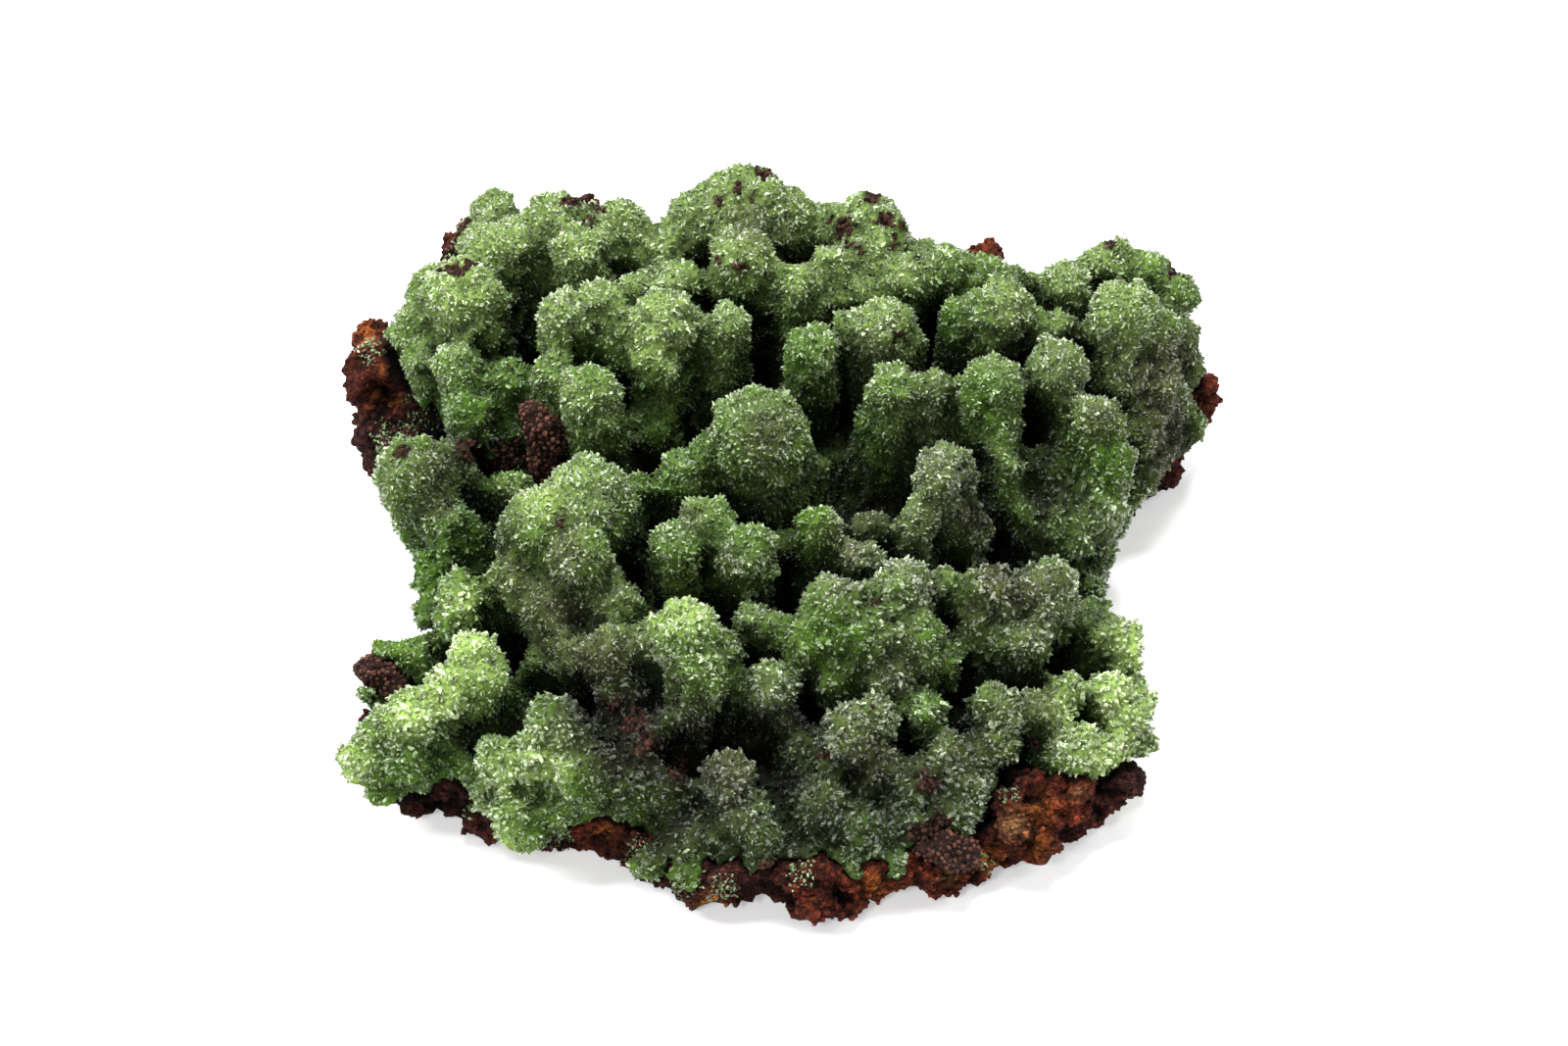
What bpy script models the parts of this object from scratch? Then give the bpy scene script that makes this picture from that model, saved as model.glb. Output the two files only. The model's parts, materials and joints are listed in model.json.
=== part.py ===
"""A hand specimen of green austinite: a druse of lumps and short fingers that grew on a slab of
brown iron-oxide rock, with three dark goethite knobs. The slab is trimmed flat underneath, so
the specimen lies on it. Sizes are in millimetres, and MM turns them into metres."""

import math

import bmesh
import bpy
from mathutils import Vector, noise

MM = 0.001

# How places on the face were read off: as seen from 45 degrees above the front. "across" runs to
# the right and "up" runs up the view, both square to the line of sight.
SIGHT_ANGLE = math.radians(45)
SIGHT_DATUM = -13.4

# Heights of the slab of rock and of the sheet of druse on it, and the room left between pieces.
SLAB_TOP = 8.0
SLAB_BELOW = -2.0
SHEET_FOOT = 5.0
SHEET_TOP = 9.6
SHEET_INSET = 4.0
GAP = 0.45

# Each lump is a ball on a stem. The stem's foot is a little wider, and nearer the slab's middle.
DRUSE_STEM_FOOT = 5.5
ROCK_STEM_FOOT = 3.0
STEM_SPREAD = 1.06
STEM_PULL = 0.91
SHORTEST_STEM = 0.5
STEM_SIDES = 14
BALL_FINENESS = 2
WALL_RADIUS = 4.6
STALK_RISE = 1.5
STALK_FOOT_SHARE = 0.8
STALK_TIP_SHARE = 0.9

# Grain of the surfaces: how far the noise moves them, and over what distance it repeats.
ROCK_ROUGHNESS = 1.5
ROCK_GRAIN = 9.0
DRUSE_ROUGHNESS = 0.9
DRUSE_GRAIN = 4.2
KNOB_ROUGHNESS = 0.7
KNOB_GRAIN = 1.9
NOISE_FALLOFF = 0.8
NOISE_STEP = 2.1
NOISE_OCTAVES = 3
NOISE_APART = 50.0

# The rim of the slab's underside lifts off the ground outside this share of its reach. The lift
# starts along a ragged line and curves upwards, and what would lie lower than FLAT is made flat.
UNDERCUT_START = 0.66
UNDERCUT_RISE = 7.0
UNDERCUT_CURVE = 1.5
UNDERCUT_RAGGED = 0.10
UNDERCUT_GRAIN = 12.0
FLAT = 0.2

# Mesh fineness: the grid that joins the balls and stems, and the triangles that are kept.
ROCK_VOXEL = 1.3
DRUSE_VOXEL = 0.9
KNOB_VOXEL = 0.55
ROCK_TRIANGLES = 1560
DRUSE_TRIANGLES = 5350
KNOB_TRIANGLES = 230

# The slab's edge as seen from above: (x, y).
SLAB_EDGE = [
    (-54, -36), (-46, -37), (-40, -42.5), (-34, -46), (-28, -44), (-22, -45), (-19, -51),
    (-13, -55), (-8, -55.5), (-2, -53), (4, -56), (9, -55), (13, -53), (20, -53), (27, -49.5),
    (31, -47.5), (36, -42), (41, -36.5), (44, -32), (44, -26), (42, -18), (38, -8), (38, 0),
    (42, 9), (48, 17), (52, 27), (53, 37), (48, 44), (40, 46), (30, 46), (18, 48), (8, 50),
    (-4, 51), (-14, 50), (-22, 49), (-32, 50), (-40, 50), (-44, 43), (-49, 36),
    (-53, 30), (-55, 22), (-50, 12), (-47, 2), (-44, -8), (-46, -15), (-52, -20), (-55, -29),
]

# The broken rock wall that backs the druse: (x, y, height of its top), from right to left.
BACK_WALL = [
    (50, 25, 11), (51, 32, 15), (49, 39, 19), (43, 42, 20), (36, 42, 21), (29, 42, 22), (22, 43, 21),
    (15, 44, 22), (8, 45, 23), (1, 46, 24), (-6, 46, 24), (-13, 46, 23), (-20, 44, 22), (-27, 43, 22),
    (-34, 46, 20), (-40, 45, 19), (-45, 38, 18), (-49, 30, 15), (-51, 23, 13),
]

# Where the rock stands proud of the druse: (across, up, height, radius).
ROCK_OUTCROPS = [
    (-57.0, 13.5, 10, 3.6), (-56.5, 18.5, 14, 4.2), (-55.6, 22.0, 15, 3.6), (-56.6, 25.5, 14, 2.6),
    (-45.6, 37.6, 20, 2.4), (-43.6, 41.0, 21, 2.2), (-29.0, 43.3, 24, 2.6), (-26.4, 43.4, 24, 2.0),
    (27.6, 37.0, 27, 3.0), (53.6, 34.3, 23, 2.2), (57.2, 19.6, 14, 2.4), (56.8, 17.0, 12, 2.4),
    (54.4, 11.4, 8, 1.8), (32.0, -38.5, 7, 5.0), (37.0, -37.6, 7, 5.2), (33.0, -42.6, 4, 4.6),
    (41.0, -35.8, 6, 4.2), (44.4, -34.2, 7, 3.6), (4.8, -51.4, 2, 3.0), (8.5, -51.2, 2, 2.2),
    (-49.0, -39.0, 2, 1.6), (44.0, -4.4, 8, 1.7), (-56.0, -25.6, 8, 1.2),
]

# The lumps and fingers of the druse: (across, up, height of the tip's centre, radius).
BACK_CREST = [
    (-40.0, 42.8, 26, 3.3), (-42.3, 38.8, 25, 3.0), (-40.0, 37.0, 27, 4.2), (-35.8, 38.3, 26, 3.9),
    (-31.2, 41.0, 27, 4.2), (-27.5, 40.8, 26, 3.2), (-28.0, 37.2, 29, 3.7), (-22.5, 40.1, 28, 4.2),
    (-16.5, 36.8, 27, 3.4), (-11.5, 41.3, 28, 4.6), (-5.5, 42.4, 30, 6.8), (-0.5, 41.4, 28, 5.0),
    (-5.5, 36.0, 31, 4.2), (-14.0, 33.0, 28, 2.7), (6.5, 40.3, 27, 3.8), (11.8, 40.0, 28, 5.0),
    (13.7, 36.3, 27, 4.0), (6.7, 35.3, 29, 2.6), (2.0, 32.4, 29, 3.0), (17.0, 33.0, 28, 3.2),
    (19.3, 36.5, 25, 2.6), (22.5, 35.0, 28, 3.8), (28.3, 33.6, 27, 3.6), (32.5, 33.2, 24, 2.6),
    (6.0, 30.4, 26, 2.4), (10.5, 31.2, 26, 2.4),
]
RIGHT_SHOULDER = [
    (38.5, 32.4, 26, 4.0), (41.8, 34.8, 24, 2.8), (45.5, 36.2, 25, 3.6), (50.0, 34.3, 24, 3.4),
    (54.0, 31.4, 23, 3.4), (46.5, 28.2, 29, 5.3), (50.5, 26.0, 25, 4.4), (54.3, 25.3, 21, 3.5),
    (55.6, 21.4, 17, 2.9), (36.5, 26.2, 27, 3.2), (37.0, 20.7, 28, 4.6), (46.0, 19.5, 22, 4.4),
    (51.0, 18.5, 20, 4.4), (54.0, 16.0, 15, 3.0), (48.5, 12.5, 17, 3.7), (51.8, 11.0, 13, 3.1),
    (57.0, 13.2, 11, 1.8), (49.3, 6.6, 11, 2.7),
]
RIGHT_FINGERS = [
    (29.8, 29.2, 30, 4.7), (24.3, 28.0, 27, 3.5), (13.5, 26.4, 30, 4.7), (8.8, 26.3, 28, 3.0),
    (17.3, 24.6, 27, 2.8), (3.7, 22.8, 29, 4.2), (28.2, 18.4, 31, 4.6), (15.3, 18.0, 29, 4.2),
    (20.4, 17.6, 28, 3.6), (12.5, 14.0, 22, 3.3), (22.0, 6.3, 28, 4.7), (25.0, -0.5, 20, 3.6),
    (30.8, 8.0, 23, 3.4), (42.2, 13.7, 27, 4.2), (44.2, 8.4, 23, 4.0), (43.0, 2.5, 18, 3.8),
    (36.0, 7.0, 20, 4.1), (35.0, 0.5, 17, 4.4), (39.5, -2.0, 15, 3.5), (45.6, 0.6, 11, 2.5),
    (43.0, -4.5, 11, 2.5), (41.8, -8.5, 10, 2.3),
]
CENTRE = [
    (-3.2, 11.6, 28, 7.3), (-9.0, 9.0, 24, 4.2), (-13.3, 6.4, 23, 4.1), (-16.6, 4.6, 20, 2.8),
    (2.5, 7.0, 19, 3.8), (-10.5, -0.5, 25, 4.4), (-14.5, -3.0, 26, 3.9), (-5.0, -4.0, 25, 4.3),
    (0.2, -3.6, 18, 3.0), (4.7, -0.6, 24, 3.6), (11.7, -0.6, 21, 2.8), (17.8, 0.0, 24, 3.0),
    (10.6, -4.8, 23, 3.1), (9.0, 8.0, 13, 3.8),
]
LEFT_MASS = [
    (-26.3, 3.0, 28, 6.4), (-33.0, -0.6, 25, 5.8), (-22.8, 1.5, 25, 3.8), (-19.8, 4.8, 24, 2.3),
    (-35.2, -7.0, 20, 4.8), (-27.0, -4.2, 27, 4.5), (-31.0, -11.0, 18, 5.7), (-25.5, -9.5, 20, 3.8),
    (-22.0, -11.0, 21, 3.8), (-33.0, -19.0, 13, 2.6), (-28.0, -17.6, 17, 3.5), (-23.0, -17.4, 21, 4.2),
]
UPPER_LEFT = [
    (-43.8, 30.8, 26, 6.0), (-48.0, 31.6, 23, 3.8), (-50.5, 26.2, 20, 4.1), (-50.2, 22.3, 20, 2.9),
    (-44.8, 21.4, 23, 3.6), (-43.0, 14.4, 20, 4.1), (-37.5, 19.0, 20, 3.9), (-38.0, 12.0, 15, 3.4),
    (-30.0, 28.0, 29, 4.1), (-25.0, 30.0, 29, 3.7), (-20.0, 31.7, 27, 2.9), (-16.5, 27.4, 30, 5.0),
    (-23.5, 24.0, 25, 3.1), (-17.5, 22.0, 26, 3.7), (-7.9, 26.6, 29, 3.7), (-8.0, 20.5, 22, 3.1),
    (-26.2, 17.4, 28, 4.6), (-31.2, 20.1, 25, 3.5), (-18.0, 13.0, 17, 4.2), (-50.2, 6.3, 20, 5.7),
    (-45.5, 7.6, 19, 3.8), (-45.4, -0.5, 16, 3.9), (-42.5, -3.0, 13, 3.8), (-47.0, -7.0, 12, 3.5),
    (-47.5, -12.0, 10, 2.9), (-37.0, 4.6, 17, 3.2),
]
LOWER_LEFT = [
    (-43.5, -9.3, 19, 3.3), (-44.3, -13.2, 16, 3.2), (-53.4, -17.4, 13, 2.3), (-49.5, -17.8, 13, 2.7),
    (-41.3, -17.8, 20, 3.7), (-39.6, -21.5, 18, 3.5), (-44.5, -22.3, 18, 3.9), (-49.3, -26.0, 16, 4.3),
    (-53.5, -28.4, 13, 4.0), (-56.3, -31.8, 10, 3.5), (-50.5, -31.0, 12, 4.0), (-46.0, -29.0, 12, 3.0),
    (-56.2, -23.0, 11, 1.8), (-53.8, -36.2, 7, 2.1), (-38.0, -31.6, 14, 3.7), (-33.5, -31.0, 15, 3.7),
    (-42.8, -32.6, 10, 2.1), (-39.8, -36.8, 8.5, 2.6), (-36.0, -39.2, 9, 3.5), (-34.0, -42.4, 6.5, 2.3),
    (-30.3, -26.5, 18, 4.3), (-26.0, -33.5, 14, 5.0), (-21.0, -35.5, 12, 4.2), (-30.0, -38.0, 9, 3.4),
    (-21.5, -23.0, 16, 4.2), (-19.0, -29.0, 14, 4.4), (-15.5, -36.0, 11, 3.8),
]
FRONT = [
    (-13.0, -14.6, 25, 5.1), (-17.3, -15.5, 22, 3.3), (-11.5, -20.0, 22, 4.7), (-12.5, -25.0, 18, 3.7),
    (-8.2, -17.0, 22, 3.1), (-4.0, -13.2, 21, 3.2), (0.3, -14.5, 21, 3.2), (-1.6, -22.0, 20, 3.9),
    (-7.4, -33.4, 16, 3.8), (-5.0, -39.0, 12, 3.7), (-3.0, -43.0, 9, 3.5), (-11.0, -42.0, 9, 3.5),
    (-12.5, -46.8, 6.5, 2.8), (-18.0, -45.2, 6.5, 2.8), (-7.0, -47.6, 6, 2.3), (2.5, -30.0, 13, 3.8),
    (5.0, -37.5, 11, 4.5), (10.5, -41.0, 9, 4.3), (17.0, -41.0, 8.5, 3.7), (3.0, -44.8, 7, 3.1),
    (8.5, -45.9, 6.5, 2.3), (14.5, -45.7, 6.5, 2.3), (24.3, -45.5, 6.0, 1.6), (27.0, -45.8, 5, 1.6),
]
FRONT_RIGHT = [
    (15.5, -9.0, 26, 4.5), (6.5, -11.0, 25, 4.5), (3.7, -15.8, 22, 4.1), (10.5, -14.8, 23, 4.5),
    (17.0, -15.2, 22, 4.7), (20.5, -18.5, 18, 3.5), (14.0, -20.0, 19, 4.1), (7.5, -20.5, 18, 3.7),
    (22.3, -8.5, 23, 2.9), (28.0, -8.8, 24, 3.7), (35.3, -9.0, 23, 4.8), (26.0, -13.8, 20, 3.1),
    (32.0, -16.2, 19, 3.9), (37.8, -13.0, 16, 2.9), (44.3, -15.6, 15, 3.8), (42.2, -12.3, 14, 2.4),
    (46.3, -19.5, 13, 2.5), (38.0, -21.8, 17, 2.5), (43.5, -22.8, 15, 3.2), (36.0, -25.2, 15, 2.9),
    (46.0, -26.5, 12, 2.7), (38.5, -31.0, 12, 4.3), (43.3, -30.0, 11, 3.3), (48.0, -24.3, 11, 2.5),
    (48.0, -29.5, 9, 2.5), (28.0, -24.0, 18, 3.3), (32.7, -24.7, 16, 2.9), (28.0, -29.5, 14, 3.5),
    (22.0, -30.6, 15, 3.2), (19.0, -25.0, 17, 3.1), (8.7, -27.8, 19, 3.9), (12.0, -25.8, 19, 3.3),
    (12.5, -32.0, 14, 3.5), (17.5, -35.0, 12, 3.9), (24.5, -35.5, 11, 3.7), (22.5, -38.5, 9.5, 3.6),
]
LUMPS = (
    BACK_CREST + RIGHT_SHOULDER + RIGHT_FINGERS + CENTRE + LEFT_MASS + UPPER_LEFT
    + LOWER_LEFT + FRONT + FRONT_RIGHT
)

# Dark knobs of goethite that grew through the druse, each a few balls on one stalk.
KNOBS = {
    "goethite_knob_left": [(-55.0, -19.8, 12, 2.5), (-53.6, -21.0, 11, 2.8), (-52.2, -22.4, 10, 2.3)],
    "goethite_knob_centre": [(-34.0, 14.6, 24, 2.1), (-32.7, 13.0, 23, 2.6), (-31.4, 11.2, 21, 2.3)],
    "goethite_rosette_front": [(18.8, -43.0, 8, 2.4), (21.4, -43.4, 8, 2.9), (24.0, -43.6, 8, 2.3)],
}

COLOURS = {
    "matrix": (0.16, 0.045, 0.02),
    "austinite_crust": (0.23, 0.36, 0.14),
    "goethite": (0.06, 0.03, 0.026),
}


def on_face(across, up, height):
    """The point, in millimetres, that stands this high and is seen at this place on the face."""
    depth = (up - SIGHT_DATUM) / math.sin(SIGHT_ANGLE) - height / math.tan(SIGHT_ANGLE)
    return Vector((across, depth, height))


def clear_scene():
    for old in list(bpy.data.objects):
        bpy.data.objects.remove(old, do_unlink=True)


def add_ball(bm, centre, radius):
    ball = bmesh.ops.create_icosphere(bm, subdivisions=BALL_FINENESS, radius=radius)
    bmesh.ops.translate(bm, verts=ball["verts"], vec=centre)


def add_stem(bm, foot, tip, foot_radius, tip_radius):
    """A tapered round bar from foot to tip."""
    run = tip - foot
    stem = bmesh.ops.create_cone(
        bm,
        cap_ends=True,
        segments=STEM_SIDES,
        radius1=foot_radius,
        radius2=tip_radius,
        depth=run.length,
    )
    bmesh.ops.rotate(bm, verts=stem["verts"], matrix=run.to_track_quat("Z", "Y").to_matrix())
    bmesh.ops.translate(bm, verts=stem["verts"], vec=(foot + tip) / 2)


def add_finger(bm, across, up, height, radius, foot_height):
    """A ball on a stem that leans in towards the middle of the slab at its foot."""
    tip = on_face(across, up, height)
    foot = Vector((tip.x * STEM_PULL, tip.y * STEM_PULL, foot_height))
    add_ball(bm, tip, radius)
    if height > foot_height + SHORTEST_STEM:
        add_stem(bm, foot, tip, radius * STEM_SPREAD, radius)


def add_plate(bm, edge, bottom, top):
    """A flat plate with this outline between two heights."""
    face = bm.faces.new([bm.verts.new((x, y, bottom)) for x, y in edge])
    raised = bmesh.ops.extrude_face_region(bm, geom=[face])["geom"]
    lifted = [part for part in raised if isinstance(part, bmesh.types.BMVert)]
    bmesh.ops.translate(bm, verts=lifted, vec=(0, 0, top - bottom))


def inset(edge, distance):
    """The outline drawn in towards the middle by about this distance."""
    drawn_in = []
    for x, y in edge:
        reach = math.hypot(x, y)
        share = (reach - distance) / reach
        drawn_in.append((x * share, y * share))
    return drawn_in


def new_object(name, bm, colour):
    bmesh.ops.recalc_face_normals(bm, faces=bm.faces)
    mesh = bpy.data.meshes.new(name)
    bm.to_mesh(mesh)
    bm.free()
    made = bpy.data.objects.new(name, mesh)
    bpy.context.scene.collection.objects.link(made)
    finish = bpy.data.materials.new(name)
    finish.use_nodes = True
    shader = finish.node_tree.nodes["Principled BSDF"]
    shader.inputs["Base Color"].default_value = (*colour, 1)
    shader.inputs["Roughness"].default_value = 0.6
    shader.inputs["Metallic"].default_value = 0.0
    mesh.materials.append(finish)
    return made


def apply_modifiers(made):
    """Makes the evaluated shape the object's own mesh."""
    graph = bpy.context.evaluated_depsgraph_get()
    finished = bpy.data.meshes.new_from_object(made.evaluated_get(graph))
    made.modifiers.clear()
    made.data = finished


def join_by_grid(made, voxel):
    """Joins everything that overlaps into one skin."""
    remesh = made.modifiers.new("join", "REMESH")
    remesh.mode = "VOXEL"
    remesh.voxel_size = voxel
    apply_modifiers(made)


def thin_out(made, triangles):
    """Keeps about this many triangles, most of them where the surface bends."""
    now = sum(len(face.vertices) - 2 for face in made.data.polygons)
    decimate = made.modifiers.new("thin", "DECIMATE")
    decimate.ratio = min(1.0, triangles / now)
    decimate.use_collapse_triangulate = True
    apply_modifiers(made)


def roughen(made, depth, grain, place):
    """Moves each point along its normal by a rough noise. Pieces with different places differ."""
    shift = Vector((NOISE_APART * place, 0, 0))
    normals = [vertex.normal.copy() for vertex in made.data.vertices]
    for vertex, normal in zip(made.data.vertices, normals):
        where = (vertex.co + shift) / grain
        amount = noise.fractal(where, NOISE_FALLOFF, NOISE_STEP, NOISE_OCTAVES)
        vertex.co += normal * depth * amount


def grown_copy(made, growth):
    """A slightly larger copy that cuts room for the piece out of its neighbour."""
    cutter = bpy.data.objects.new("cutter_" + made.name, made.data.copy())
    bpy.context.scene.collection.objects.link(cutter)
    cutter.hide_render = True
    cutter.display_type = "WIRE"
    normals = [vertex.normal.copy() for vertex in cutter.data.vertices]
    for vertex, normal in zip(cutter.data.vertices, normals):
        vertex.co += normal * growth
    return cutter


def cut(made, cutter):
    boolean = made.modifiers.new("room", "BOOLEAN")
    boolean.operation = "DIFFERENCE"
    boolean.solver = "MANIFOLD"
    boolean.object = cutter
    apply_modifiers(made)
    bpy.data.objects.remove(cutter, do_unlink=True)


def keep_largest_body(made):
    """Deletes the crumbs that a cut leaves beside the main body."""
    bm = bmesh.new()
    bm.from_mesh(made.data)
    waiting = set(bm.faces)
    bodies = []
    while waiting:
        body = {waiting.pop()}
        front = list(body)
        while front:
            face = front.pop()
            for edge in face.edges:
                for other in edge.link_faces:
                    if other in waiting:
                        waiting.remove(other)
                        body.add(other)
                        front.append(other)
        bodies.append(body)
    bodies.sort(key=len)
    crumbs = [face for body in bodies[:-1] for face in body]
    bmesh.ops.delete(bm, geom=crumbs, context="FACES")
    bmesh.ops.triangulate(bm, faces=bm.faces)
    bm.to_mesh(made.data)
    bm.free()


def trim_underside(rock):
    """Cuts the rock flat below, and lets its rim rise from the surface it lies on."""
    reach_x = max(abs(x) for x, _ in SLAB_EDGE)
    reach_y = max(abs(y) for _, y in SLAB_EDGE)
    for vertex in rock.data.vertices:
        outward = math.hypot(vertex.co.x / reach_x, vertex.co.y / reach_y)
        ragged = UNDERCUT_RAGGED * noise.noise(Vector((vertex.co.x, vertex.co.y, 0)) / UNDERCUT_GRAIN)
        beyond = max(0.0, outward + ragged - UNDERCUT_START)
        vertex.co.z = max(vertex.co.z, UNDERCUT_RISE * beyond**UNDERCUT_CURVE)


def flatten_foot(rock):
    """Makes the lowest part of the underside one true flat."""
    for vertex in rock.data.vertices:
        if vertex.co.z < FLAT:
            vertex.co.z = 0.0


def build_matrix():
    bm = bmesh.new()
    add_plate(bm, SLAB_EDGE, SLAB_BELOW, SLAB_TOP)
    for x, y, top in BACK_WALL:
        crown = Vector((x, y, top - WALL_RADIUS))
        add_ball(bm, crown, WALL_RADIUS)
        add_stem(bm, Vector((x, y, 0)), crown, WALL_RADIUS, WALL_RADIUS)
    for across, up, height, radius in ROCK_OUTCROPS:
        add_finger(bm, across, up, height, radius, ROCK_STEM_FOOT)
    rock = new_object("matrix", bm, COLOURS["matrix"])
    join_by_grid(rock, ROCK_VOXEL)
    roughen(rock, ROCK_ROUGHNESS, ROCK_GRAIN, 0)
    trim_underside(rock)
    thin_out(rock, ROCK_TRIANGLES)
    flatten_foot(rock)
    return rock


def build_knob(name, balls, place):
    """A knob whose middle ball stands on a stalk that starts just above the slab."""
    bm = bmesh.new()
    for across, up, height, radius in balls:
        add_ball(bm, on_face(across, up, height), radius)
    across, up, height, radius = balls[len(balls) // 2]
    tip = on_face(across, up, height)
    foot = Vector((tip.x, tip.y, SLAB_TOP + STALK_RISE))
    add_stem(bm, foot, tip, radius * STALK_FOOT_SHARE, radius * STALK_TIP_SHARE)
    knob = new_object(name, bm, COLOURS["goethite"])
    join_by_grid(knob, KNOB_VOXEL)
    roughen(knob, KNOB_ROUGHNESS, KNOB_GRAIN, place)
    thin_out(knob, KNOB_TRIANGLES)
    return knob


def build_crust(cutters):
    bm = bmesh.new()
    add_plate(bm, inset(SLAB_EDGE, SHEET_INSET), SHEET_FOOT, SHEET_TOP)
    for across, up, height, radius in LUMPS:
        add_finger(bm, across, up, height, radius, DRUSE_STEM_FOOT)
    crust = new_object("austinite_crust", bm, COLOURS["austinite_crust"])
    join_by_grid(crust, DRUSE_VOXEL)
    roughen(crust, DRUSE_ROUGHNESS, DRUSE_GRAIN, 1)
    thin_out(crust, DRUSE_TRIANGLES)
    for cutter in cutters:
        cut(crust, cutter)
    keep_largest_body(crust)
    return crust


def stand_at_origin(pieces):
    """Puts the origin under the middle of the specimen's box and turns millimetres into metres."""
    points = [vertex.co for piece in pieces for vertex in piece.data.vertices]
    low = Vector([min(point[axis] for point in points) for axis in range(3)])
    high = Vector([max(point[axis] for point in points) for axis in range(3)])
    foot = Vector(((low.x + high.x) / 2, (low.y + high.y) / 2, low.z))
    for piece in pieces:
        for vertex in piece.data.vertices:
            vertex.co = (vertex.co - foot) * MM
        piece.data.shade_flat()


def main():
    clear_scene()
    rock = build_matrix()
    knobs = []
    for place, (name, balls) in enumerate(KNOBS.items(), start=2):
        knobs.append(build_knob(name, balls, place))
    # The second, closer cut takes what the first leaves where the grown skin folds.
    cutters = [grown_copy(piece, growth) for piece in [rock, *knobs] for growth in (GAP, GAP / 3)]
    for knob in knobs:
        cut(knob, grown_copy(rock, GAP))
        keep_largest_body(knob)
    crust = build_crust(cutters)
    stand_at_origin([rock, crust, *knobs])


main()
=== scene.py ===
"""The looks of the austinite specimen: a fine druse of glassy green crystals over its lumps and
fingers, on rust-brown rock, with three granular goethite knobs. Lengths are in millimetres here,
and MM turns them into the frame's metres."""

import json
import math

import bmesh
import bpy
import numpy as np
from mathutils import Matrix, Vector, noise
from mathutils.bvhtree import BVHTree

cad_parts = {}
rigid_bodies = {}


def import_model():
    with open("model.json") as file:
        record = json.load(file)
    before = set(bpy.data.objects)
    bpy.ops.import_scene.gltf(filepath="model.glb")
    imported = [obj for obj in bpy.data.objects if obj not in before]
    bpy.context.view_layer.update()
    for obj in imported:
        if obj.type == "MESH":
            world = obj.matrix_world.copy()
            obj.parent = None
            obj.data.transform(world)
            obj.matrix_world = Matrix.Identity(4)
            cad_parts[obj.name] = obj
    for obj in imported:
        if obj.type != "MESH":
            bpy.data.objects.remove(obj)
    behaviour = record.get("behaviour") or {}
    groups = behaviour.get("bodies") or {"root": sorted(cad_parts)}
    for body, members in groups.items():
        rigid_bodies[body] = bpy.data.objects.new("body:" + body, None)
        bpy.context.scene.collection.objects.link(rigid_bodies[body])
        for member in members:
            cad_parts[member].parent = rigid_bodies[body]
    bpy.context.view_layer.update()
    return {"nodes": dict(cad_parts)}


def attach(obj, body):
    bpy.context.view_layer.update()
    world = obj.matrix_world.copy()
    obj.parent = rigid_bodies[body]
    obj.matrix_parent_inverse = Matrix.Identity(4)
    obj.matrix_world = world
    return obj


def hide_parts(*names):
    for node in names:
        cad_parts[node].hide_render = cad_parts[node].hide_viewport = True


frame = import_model()

MM = 0.001

# The view that places on the face are given in: 45 degrees down from the front, with "across" to
# the right and "up" up the view. ORIGIN is where that view's own origin stands in the frame. What
# turns to the viewer by more than FRONT_FACING faces the front.
SIGHT_ANGLE = math.radians(45)
TO_VIEWER = (0, -math.cos(SIGHT_ANGLE), math.sin(SIGHT_ANGLE))
SIGHT_DATUM = -13.4
ORIGIN = (0.58, 0.59)
FRONT_FACING = 0.15

# The camera: the height that it aims at, the width that it sees, and its lens and sensor.
AIM_HEIGHT = 12.0
VIEW_WIDTH = 1600 / 7.5
LENS = 250.0
SENSOR = 36.0

# Lamps: (name, place in metres, size in metres, watts).
LAMPS = [
    ("overhead", (-0.05, 0.28, 0.95), (0.6, 0.45), 17),
    ("left", (-0.8, 0.1, 0.55), (0.25, 0.35), 8),
    ("right", (0.8, 0.05, 0.55), (0.25, 0.35), 3),
    ("front", (-0.35, -0.75, 0.7), (0.2, 0.2), 4),
    ("behind", (0.1, 0.95, 0.5), (0.35, 0.2), 4),
]
LAMP_AIM = (0, 0, 0.01)
WORLD_GLOW = 0.2
FLOOR_GLOW = 0.4

# The meshes that replace the CAD's faceted ones: (voxel, rounds of smoothing), how much each round
# softens, how far the CAD's meshes are drawn in first, the gap between pieces and the lowest point.
DRUSE_SKIN = (1.05, 2)
ROCK_SKIN = (0.66, 1)
KNOB_SKIN = (0.3, 3)
SOFTENING = 0.5
DRUSE_SETTLE = 0.25
SHEET_SETTLE = 1.3
ROCK_SETTLE = 0.35
KNOB_SETTLE = 0.25
GAP = 0.35
LOWEST = 0.1

# The balls of the lumps, and how far they are swelled: more above SWELL_ABOVE and left of
# SWELL_LEFT_OF than elsewhere. Then the stem under each ball: how high its foot stands, how far in
# towards the middle it leans, and how much narrower than the ball it is.
BALL_FINENESS = 3
BACK_SWELL = 0.8
LUMP_SWELL = 0.25
SWELL_ABOVE = 31
SWELL_LEFT_OF = 20
STEM_FOOT = 5.5
STEM_PULL = 0.91
STEM_TAPER = 0.86

# Rough noises: (grain, octaves, shift), where the shift sets one noise apart from the next.
ZONE_WAVER = (5, 3, 7)
PATCHES = (9, 3, 3)
SPOT_WAVER = (1.6, 2, 4)
COARSE_WAVER = (3, 2, 11)
SIZE_WAVER = (7, 2, 15)
DRUSE_ROUGH = (2.2, 3, 1)
ROCK_RIDGES = (6.5, 3, 9)
ROCK_GRIT = (1.7, 3, 12)

# Patterns of rounded cells: (grain, shift).
DRUSE_LOBES = (4.2, 2)
DRUSE_BUDS = (2.3, 6)
ROCK_CELLS = (2.2, 5)
KNOB_CELLS = (0.95, 4)

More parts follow.
